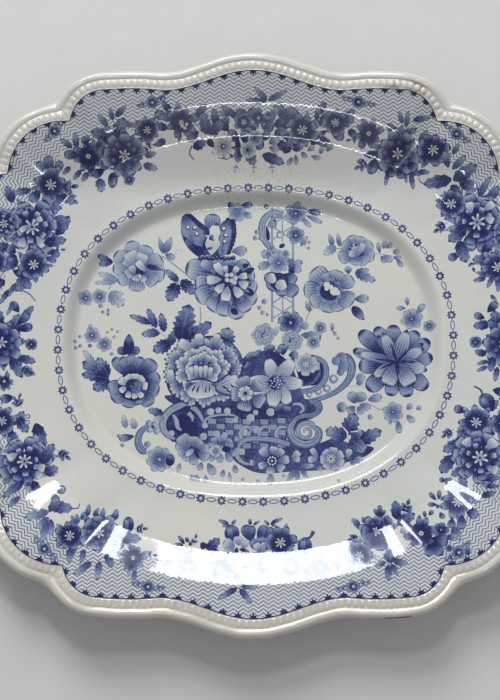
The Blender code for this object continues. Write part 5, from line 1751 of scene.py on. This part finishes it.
def build_underside(material):
    """The plain glazed back, from the middle out to the lip."""
    theta = circle(360)
    floor, start = oval_radius(theta, WELL_FLOOR), oval_radius(theta, RIM_START)
    line = edge_radius(theta, 0.0)
    rings = []
    base = FLOOR_Z - BODY_THICKNESS
    for share in (0.02, 0.3, 0.6, 0.85, 0.97, 1.0):
        rings.append(ring_points(theta, floor * share, base))
    for share, climb in ((0.10, 0.03), (0.22, 0.11), (0.36, 0.26), (0.50, 0.44), (0.64, 0.60), (0.80, 0.74),
                         (0.94, 0.84)):
        radius = floor + (start + 0.001 - floor) * share
        rings.append(ring_points(theta, radius, base + climb * CAVETTO_RISE))
    for share in (0.08, 0.2, 0.35, 0.5, 0.65, 0.8, 0.92, 1.0):
        radius = start + (line - start) * share
        height = face_height(radius * np.cos(theta), radius * np.sin(theta)) - BODY_THICKNESS
        rings.append(ring_points(theta, radius + 0.0001, height + 0.0004 * (1 - share)))
    mesh = grid_mesh("platter_underside", rings[::-1])
    return link_object("platter_underside", mesh, material, "printed_glaze", "platter_body")


def build_foot(material):
    """The foot: a roll of clay with soft shoulders and a flat ground face."""
    theta = circle(360)
    middle = oval_radius(theta, FOOT_OVAL)
    half = ((0.23, 0.00), (0.31, 0.06), (0.36, 0.20), (0.39, 0.44), (0.43, 0.72), (0.50, 0.96), (0.62, 1.07))
    section = [(-across, up) for across, up in reversed(half)] + list(half)
    rings = []
    for across, up in section:
        wobble = 0.00012 * np.sin(theta * 7.0 + across * 3.0) * (up > 0)
        rings.append(ring_points(theta, middle + across * FOOT_WIDTH + wobble, up * FOOT_HEIGHT))
    mesh = grid_mesh("foot_ring_china", rings)
    mark_points(mesh, "bare", np.repeat([1.0 if up < 0.1 else 0.0 for _, up in section], len(theta)))
    return link_object("foot_ring_china", mesh, material, "ground_foot", "foot_ring")


# --- materials ----------------------------------------------------------------------------------
class Nodes:
    """Short ways to add shader nodes to one material."""

    def __init__(self, name):
        self.material = bpy.data.materials.new(name)
        self.material.use_nodes = True
        self.tree = self.material.node_tree
        self.shader = self.tree.nodes["Principled BSDF"]

    def add(self, kind, **settings):
        """A new node with its settings."""
        node = self.tree.nodes.new(kind)
        for key, value in settings.items():
            setattr(node, key, value)
        return node

    def wire(self, source, target):
        """Connects an output to an input, or sets the input when source is a plain value."""
        if isinstance(source, bpy.types.NodeSocket):
            self.tree.links.new(source, target)
        else:
            target.default_value = source

    def math(self, operation, a, b=0.0, c=0.0, clamp=False):
        """One arithmetic step."""
        node = self.add("ShaderNodeMath", operation=operation, use_clamp=clamp)
        for value, socket in zip((a, b, c), node.inputs):
            self.wire(value, socket)
        return node.outputs[0]

    def step(self, value, low, high, to_low=0.0, to_high=1.0):
        """A smooth step of value from low to high."""
        node = self.add("ShaderNodeMapRange", interpolation_type="SMOOTHSTEP")
        for source, socket in zip((value, low, high, to_low, to_high), node.inputs):
            self.wire(source, socket)
        return node.outputs[0]

    def place(self):
        """The point on the platter, in metres."""
        return self.add("ShaderNodeTexCoord").outputs["Object"]

    def distance(self, spot):
        """How far each point is from a spot on the platter."""
        node = self.add("ShaderNodeVectorMath", operation="DISTANCE")
        self.wire(self.place(), node.inputs[0])
        node.inputs[1].default_value = spot
        return node.outputs["Value"]

    def noise(self, scale, detail=3.0, roughness=0.5, offset=0.0):
        """Noise over the platter, moved by offset so that no two uses match."""
        place = self.place()
        if offset:
            mapping = self.add("ShaderNodeMapping")
            mapping.inputs["Location"].default_value = (offset, offset * 0.7, offset * 1.3)
            self.wire(place, mapping.inputs["Vector"])
            place = mapping.outputs[0]
        node = self.add("ShaderNodeTexNoise")
        self.wire(place, node.inputs["Vector"])
        node.inputs["Scale"].default_value = scale
        node.inputs["Detail"].default_value = detail
        node.inputs["Roughness"].default_value = roughness
        return node.outputs["Fac"]

    def mix(self, share, a, b):
        """A colour mixed from a to b."""
        node = self.add("ShaderNodeMix", data_type="RGBA")
        self.wire(share, node.inputs["Factor"])
        self.wire(a, node.inputs["A"])
        self.wire(b, node.inputs["B"])
        return node.outputs["Result"]

    def ramp(self, value, stops):
        """A colour read from stops, each (position, colour)."""
        node = self.add("ShaderNodeValToRGB")
        ramp = node.color_ramp
        while len(ramp.elements) < len(stops):
            ramp.elements.new(0.5)
        for element, (position, colour) in zip(ramp.elements, stops):
            element.position, element.color = position, (*colour, 1.0)
        self.wire(value, node.inputs["Fac"])
        return node.outputs["Color"]

    def attribute(self, name):
        """The outputs of a value stored in the mesh."""
        return self.add("ShaderNodeAttribute", attribute_name=name).outputs

    def xyz(self, vector):
        """A vector's three parts."""
        node = self.add("ShaderNodeSeparateXYZ")
        self.wire(vector, node.inputs[0])
        return node.outputs


CHINA_COLOUR = (0.640, 0.632, 0.570)
CHINA_COOL = (0.600, 0.612, 0.575)
CHINA_WARM = (0.625, 0.585, 0.490)
# painted shade laid over the china on the platter's far side
CHINA_FAR_SHADE = (0.430, 0.428, 0.400)
LIP_COLOUR = (0.660, 0.645, 0.580)
# painted shade multiplied into the print on the platter's far side
FAR_SHADE_INK = (0.70, 0.66, 0.58)
SPECKLED_SPOT = (0.004, 0.103, 0.018)
GRIMY_SPOT = (0.088, 0.148, 0.026)
BROWN_SPECKLE, PIN_MARKS, WEAR_BROWN = (0.34, 0.26, 0.16), (0.30, 0.26, 0.20), (0.22, 0.15, 0.08)


def china_tone(n):
    """Glazed earthenware: warm grey-cream with slow cool and warm drifts and faint pin marks, and painted
    shade that greys the far side.
    """
    drift = n.step(n.noise(9.0, 2.0), 0.35, 0.65)
    colour = n.mix(drift, (*CHINA_COLOUR, 1.0), (*CHINA_COOL, 1.0))
    stain = n.step(n.noise(26.0, 5.0, 0.65, 3.0), 0.56, 0.80, 0.0, 0.35)
    colour = n.mix(stain, colour, (*CHINA_WARM, 1.0))
    # painted shade: the china on the far side is made greyer and darker
    far = n.xyz(n.place())[1]
    colour = n.mix(n.step(far, 0.078, 0.104, 0.0, 0.90), colour, (*CHINA_FAR_SHADE, 1.0))
    speckle = n.math("MULTIPLY", n.step(n.noise(620.0, 2.0, 0.6, 8.0), 0.54, 0.64),
                     n.step(n.distance(SPECKLED_SPOT), 0.012, 0.042, 0.40, 0.0))
    colour = n.mix(speckle, colour, (*BROWN_SPECKLE, 1.0))
    pins = n.step(n.noise(520.0, 2.0, 0.5, 7.0), 0.70, 0.78, 0.0, 0.30)
    return n.mix(pins, colour, (*PIN_MARKS, 1.0))


def glaze(n, colour):
    """The clear glaze: glossy coat, a softer body under it and a faint orange-peel surface."""
    n.wire(colour, n.shader.inputs["Base Color"])
    n.shader.inputs["Metallic"].default_value = 0.0
    n.shader.inputs["IOR"].default_value = 1.5
    wear = n.noise(160.0, 4.0, 0.6, 1.0)
    n.wire(n.step(wear, 0.35, 0.75, 0.16, 0.30), n.shader.inputs["Roughness"])
    n.shader.inputs["Specular IOR Level"].default_value = 0.22
    n.shader.inputs["Coat Weight"].default_value = 0.62
    n.shader.inputs["Coat Roughness"].default_value = 0.03
    n.shader.inputs["Coat IOR"].default_value = 1.5
    bump = n.add("ShaderNodeBump")
    bump.inputs["Strength"].default_value = 0.5
    bump.inputs["Distance"].default_value = 0.00004
    n.wire(n.noise(70.0, 3.0, 0.5, 5.0), bump.inputs["Height"])
    n.wire(bump.outputs[0], n.shader.inputs["Normal"])
    n.wire(bump.outputs[0], n.shader.inputs["Coat Normal"])


def print_material():
    """The printed glaze: turns each shape's own coordinates into petals, veins and zigzag lines."""
    n = Nodes("printed_glaze")
    spot = n.xyz(n.attribute("spot")["Vector"])
    tone = n.xyz(n.attribute("ink")["Vector"])
    form = n.xyz(n.attribute("form")["Vector"])
    kind = n.attribute("kind")["Fac"]
    u, v, vein = spot[0], spot[1], spot[2]

    # where on the shape: side runs 0 at its middle to 1 at its edge, all along its length
    clipped = n.math("MINIMUM", n.math("MAXIMUM", v, 0.002), 0.998)
    rise = n.math("POWER", clipped, form[0])
    close = n.math("POWER", n.math("SUBTRACT", 1.0, clipped), form[1])
    width = n.math("MULTIPLY", n.math("MULTIPLY", rise, close), form[2])
    side = n.math("DIVIDE", u, n.math("MAXIMUM", width, 0.02))
    across = n.math("ABSOLUTE", side)

    shaped = n.math("GREATER_THAN", form[0], 0.01)

    # tone from base to tip
    fade = n.step(clipped, 0.15, 0.95)
    body = n.math("MULTIPLY_ADD", n.math("SUBTRACT", tone[1], tone[0]), fade, tone[0])

    # petal veins: fine engraved lines, strong at the base; ribbons have a few broad ones
    closeness = n.math("MULTIPLY_ADD", shaped, 12.0, 8.0)
    lines = n.math("SINE", n.math("MULTIPLY", side, closeness))
    lines = n.math("POWER", n.math("MULTIPLY_ADD", lines, 0.5, 0.5), 2.0)
    near_base = n.math("POWER", n.math("SUBTRACT", 1.0, clipped), 1.3)
    strength = n.math("MULTIPLY", n.math("MAXIMUM", vein, 0.0), near_base)
    body = n.math("MULTIPLY_ADD", lines, strength, body)

    # leaf veins: slanted pale lines and a pale midrib
    slant = n.math("SUBTRACT", n.math("MULTIPLY", clipped, 30.0), n.math("MULTIPLY", across, 9.0))
    slant = n.math("SINE", slant)
    slant = n.math("POWER", n.math("MULTIPLY_ADD", slant, 0.5, 0.5), 2.0)
    leafy = n.math("MAXIMUM", n.math("MULTIPLY", vein, -1.0), 0.0)
    rib = n.step(across, 0.02, 0.10, 1.0, 0.0)
    lift = n.math("MULTIPLY_ADD", slant, n.math("MULTIPLY", across, 0.55), n.math("MULTIPLY", rib, 0.45))
    body = n.math("SUBTRACT", body, n.math("MULTIPLY", leafy, lift))

    # the darker outline round each shape
    bold = n.step(tone[2], 0.84, 0.92, 0.0, 0.05)
    inner = n.math("SUBTRACT", n.math("MULTIPLY_ADD", shaped, 0.24, 0.64), n.math("MULTIPLY", bold, shaped))
    edge = n.step(n.math("MAXIMUM", across, clipped), inner, 0.97)
    body = n.math("MULTIPLY_ADD", n.math("SUBTRACT", tone[2], body), edge, body)

    # zigzag rows
    wave = n.math("PINGPONG", n.math("DIVIDE", u, 2.75), 1.0)
    row = n.math("SUBTRACT", v, n.math("MULTIPLY", wave, 2.0))
    phase = n.math("ABSOLUTE", n.math("SUBTRACT", n.math("FRACT", n.math("DIVIDE", row, 2.15)), 0.5))
    zigzag = n.step(phase, 0.11, 0.22, 0.61, 0.05)
    is_ground = n.math("GREATER_THAN", kind, 1.5)
    is_china = n.math("LESS_THAN", kind, 0.5)
    ink = n.math("MULTIPLY_ADD", n.math("SUBTRACT", zigzag, body), is_ground, body)
    ink = n.math("MULTIPLY", ink, n.math("SUBTRACT", 1.0, is_china))

    # uneven transfer: the ink is a little patchy and lightly stippled
    patch = n.step(n.noise(95.0, 4.0, 0.6, 2.0), 0.25, 0.75, 0.86, 1.10)
    stipple = n.step(n.noise(900.0, 1.0, 0.5, 4.0), 0.3, 0.7, 0.90, 1.10)
    ink = n.math("MULTIPLY", n.math("MULTIPLY", ink, patch), stipple, clamp=True)

    blue = n.ramp(ink, (
        (0.0, CHINA_COLOUR), (0.14, (0.46, 0.49, 0.51)), (0.34, (0.255, 0.310, 0.410)),
        (0.62, (0.106, 0.145, 0.298)), (0.86, (0.034, 0.046, 0.165)), (1.0, (0.011, 0.014, 0.090)),
    ))
    # painted shade: the print on the far side is darkened and greyed, less so on the zigzag ground
    far = n.xyz(n.place())[1]
    darker = n.add("ShaderNodeMix", data_type="RGBA", blend_type="MULTIPLY")
    printed = n.math("MULTIPLY_ADD", is_ground, -0.55, 1.0)
    n.wire(n.math("MULTIPLY", printed, n.step(far, 0.074, 0.108)), darker.inputs["Factor"])
    n.wire(blue, darker.inputs["A"])
    darker.inputs["B"].default_value = (*FAR_SHADE_INK, 1.0)
    blue = darker.outputs["Result"]
    amount = n.step(ink, 0.0, 0.10)
    colour = n.mix(amount, china_tone(n), blue)
    glaze(n, colour)
    return n.material


def lip_material():
    """The unprinted lip: the same glaze, greyer where it pools between the beads, with painted reflection and
    shade browning its near edge.
    """
    n = Nodes("lip_glaze")
    hollow = n.attribute("hollow")["Fac"]
    cream = n.mix(0.80, china_tone(n), (*LIP_COLOUR, 1.0))
    # painted reflection and shade: the lip turns browner towards its near edge
    near = n.xyz(n.place())[1]
    cream = n.mix(n.step(near, -0.150, -0.112, 0.45, 0.0), cream, (0.50, 0.44, 0.34, 1.0))
    colour = n.mix(n.math("MULTIPLY", n.step(hollow, 0.2, 1.0), 0.45), cream, (0.46, 0.44, 0.38, 1.0))
    brown = n.step(n.noise(60.0, 4.0, 0.6, 9.0), 0.58, 0.75, 0.0, 0.30)
    near_grime = n.step(n.distance(GRIMY_SPOT), 0.006, 0.022, 0.9, 0.0)
    grime = n.math("MULTIPLY", near_grime, n.step(n.noise(150.0, 3.0), 0.40, 0.55))
    brown = n.math("MAXIMUM", brown, grime)
    colour = n.mix(n.math("MULTIPLY", brown, hollow), colour, (*WEAR_BROWN, 1.0))
    chip = n.step(n.attribute("chip")["Fac"], 0.2, 0.7)
    colour = n.mix(chip, colour, n.mix(n.noise(420.0), (0.05, 0.035, 0.02, 1.0), (0.20, 0.14, 0.08, 1.0)))
    glaze(n, colour)
    n.wire(n.step(chip, 0.0, 1.0, 0.22, 0.8), n.shader.inputs["Roughness"])
    n.wire(n.step(chip, 0.0, 1.0, 0.62, 0.0), n.shader.inputs["Coat Weight"])
    return n.material


def back_material():
    """The plain back: glazed china with a few stilt marks and warmer patches."""
    n = Nodes("back_glaze")
    patches = n.step(n.noise(14.0, 4.0, 0.6, 12.0), 0.45, 0.75, 0.0, 0.5)
    colour = n.mix(patches, china_tone(n), (0.56, 0.50, 0.39, 1.0))
    glaze(n, colour)
    return n.material


def foot_material():
    """Glaze down the foot's sides and bare, ground, slightly stained clay where it stands."""
    n = Nodes("foot_clay")
    bare = n.step(n.attribute("bare")["Fac"], 0.3, 0.8)
    grain = n.noise(700.0, 3.0, 0.6, 2.0)
    clay = n.mix(grain, (0.52, 0.42, 0.29, 1.0), (0.66, 0.57, 0.43, 1.0))
    dirt = n.step(n.noise(90.0, 5.0, 0.7, 6.0), 0.52, 0.70, 0.0, 0.6)
    clay = n.mix(dirt, clay, (0.26, 0.20, 0.13, 1.0))
    glaze(n, n.mix(bare, china_tone(n), clay))
    n.wire(n.step(bare, 0.0, 1.0, 0.2, 0.85), n.shader.inputs["Roughness"])
    return n.material


# --- stage --------------------------------------------------------------------------------------
CAMERA_TILT = math.radians(9.0)
CAMERA_DISTANCE = 1.0
CAMERA_LENS = 91.6
WORLD_STRENGTH = 0.39
AIM = Vector((-0.0018, -0.0056, 0.020))


def build_floor():
    """A large pale floor with a faint grain."""
    mesh = bpy.data.meshes.new("floor")
    half, cells = 6.0, 12
    side = np.linspace(-half, half, cells + 1)
    gx, gy = np.meshgrid(side, side)
    vertices = np.column_stack((gx.ravel(), gy.ravel(), np.zeros(gx.size)))
    row = cells + 1
    corners = [r * row + c for r in range(cells) for c in range(cells)]
    faces = [(first, first + 1, first + row + 1, first + row) for first in corners]
    mesh.from_pydata(vertices.tolist(), [], faces)
    n = Nodes("floor_paper")
    grain = n.noise(40.0, 4.0, 0.6)
    n.wire(n.mix(grain, (0.62, 0.61, 0.59, 1.0), (0.66, 0.65, 0.63, 1.0)), n.shader.inputs["Base Color"])
    n.shader.inputs["Roughness"].default_value = 0.9
    n.shader.inputs["Specular IOR Level"].default_value = 0.2
    mesh.materials.append(n.material)
    floor = bpy.data.objects.new("floor", mesh)
    bpy.context.scene.collection.objects.link(floor)


def softbox(name, place, target, width, height, watts, colour=(1.0, 1.0, 1.0)):
    """A rectangular studio light that faces its target."""
    light = bpy.data.lights.new(name, "AREA")
    light.shape, light.size, light.size_y = "RECTANGLE", width, height
    light.energy, light.color = watts, colour
    lamp = bpy.data.objects.new(name, light)
    lamp.location = place
    lamp.rotation_euler = (Vector(target) - Vector(place)).to_track_quat("-Z", "Y").to_euler()
    bpy.context.scene.collection.objects.link(lamp)


def direction(x_degrees, y_degrees, distance):
    """A place above the platter, leaning from the vertical by the two angles."""
    x, y = math.tan(math.radians(x_degrees)), math.tan(math.radians(y_degrees))
    return Vector((x, y, 1.0)).normalized() * distance


def build_lights():
    """A soft room, a window and a strip that the glaze mirrors, and a broad key light behind."""
    world = bpy.data.worlds.new("studio")
    world.use_nodes = True
    background = world.node_tree.nodes["Background"]
    background.inputs["Color"].default_value = (0.80, 0.82, 0.86, 1.0)
    background.inputs["Strength"].default_value = WORLD_STRENGTH
    bpy.context.scene.world = world
    softbox("window", direction(0.0, 31.0, 1.5), (0, 0, 0), 0.185, 0.20, 3.75, (0.85, 0.92, 1.0))
    softbox("strip", direction(-0.85, -7.0, 2.2), (0, 0, 0), 0.265, 0.120, 3.0, (0.92, 0.96, 1.0))
    softbox("key", (-0.4, 1.9, 1.5), (0, 0, 0), 1.2, 0.9, 41.0, (1.0, 0.98, 0.95))


def build_camera():
    """The camera: long lens, nearly overhead, tipped towards the near long side."""
    data = bpy.data.cameras.new("camera")
    data.lens = CAMERA_LENS
    data.sensor_width = 36.0
    data.sensor_fit = "AUTO"
    camera = bpy.data.objects.new("camera", data)
    back = Vector((0.0, -math.sin(CAMERA_TILT), math.cos(CAMERA_TILT)))
    camera.location = AIM + back * CAMERA_DISTANCE
    camera.rotation_euler = (CAMERA_TILT, 0.0, 0.0)
    bpy.context.scene.collection.objects.link(camera)
    bpy.context.scene.camera = camera


def main():
    """The four pieces of the platter on the floor, lit and framed."""
    build_printed_face(print_material())
    build_lip(lip_material())
    build_underside(back_material())
    build_foot(foot_material())
    build_floor()
    build_lights()
    build_camera()
    bpy.context.scene.view_settings.view_transform = "Standard"


main()
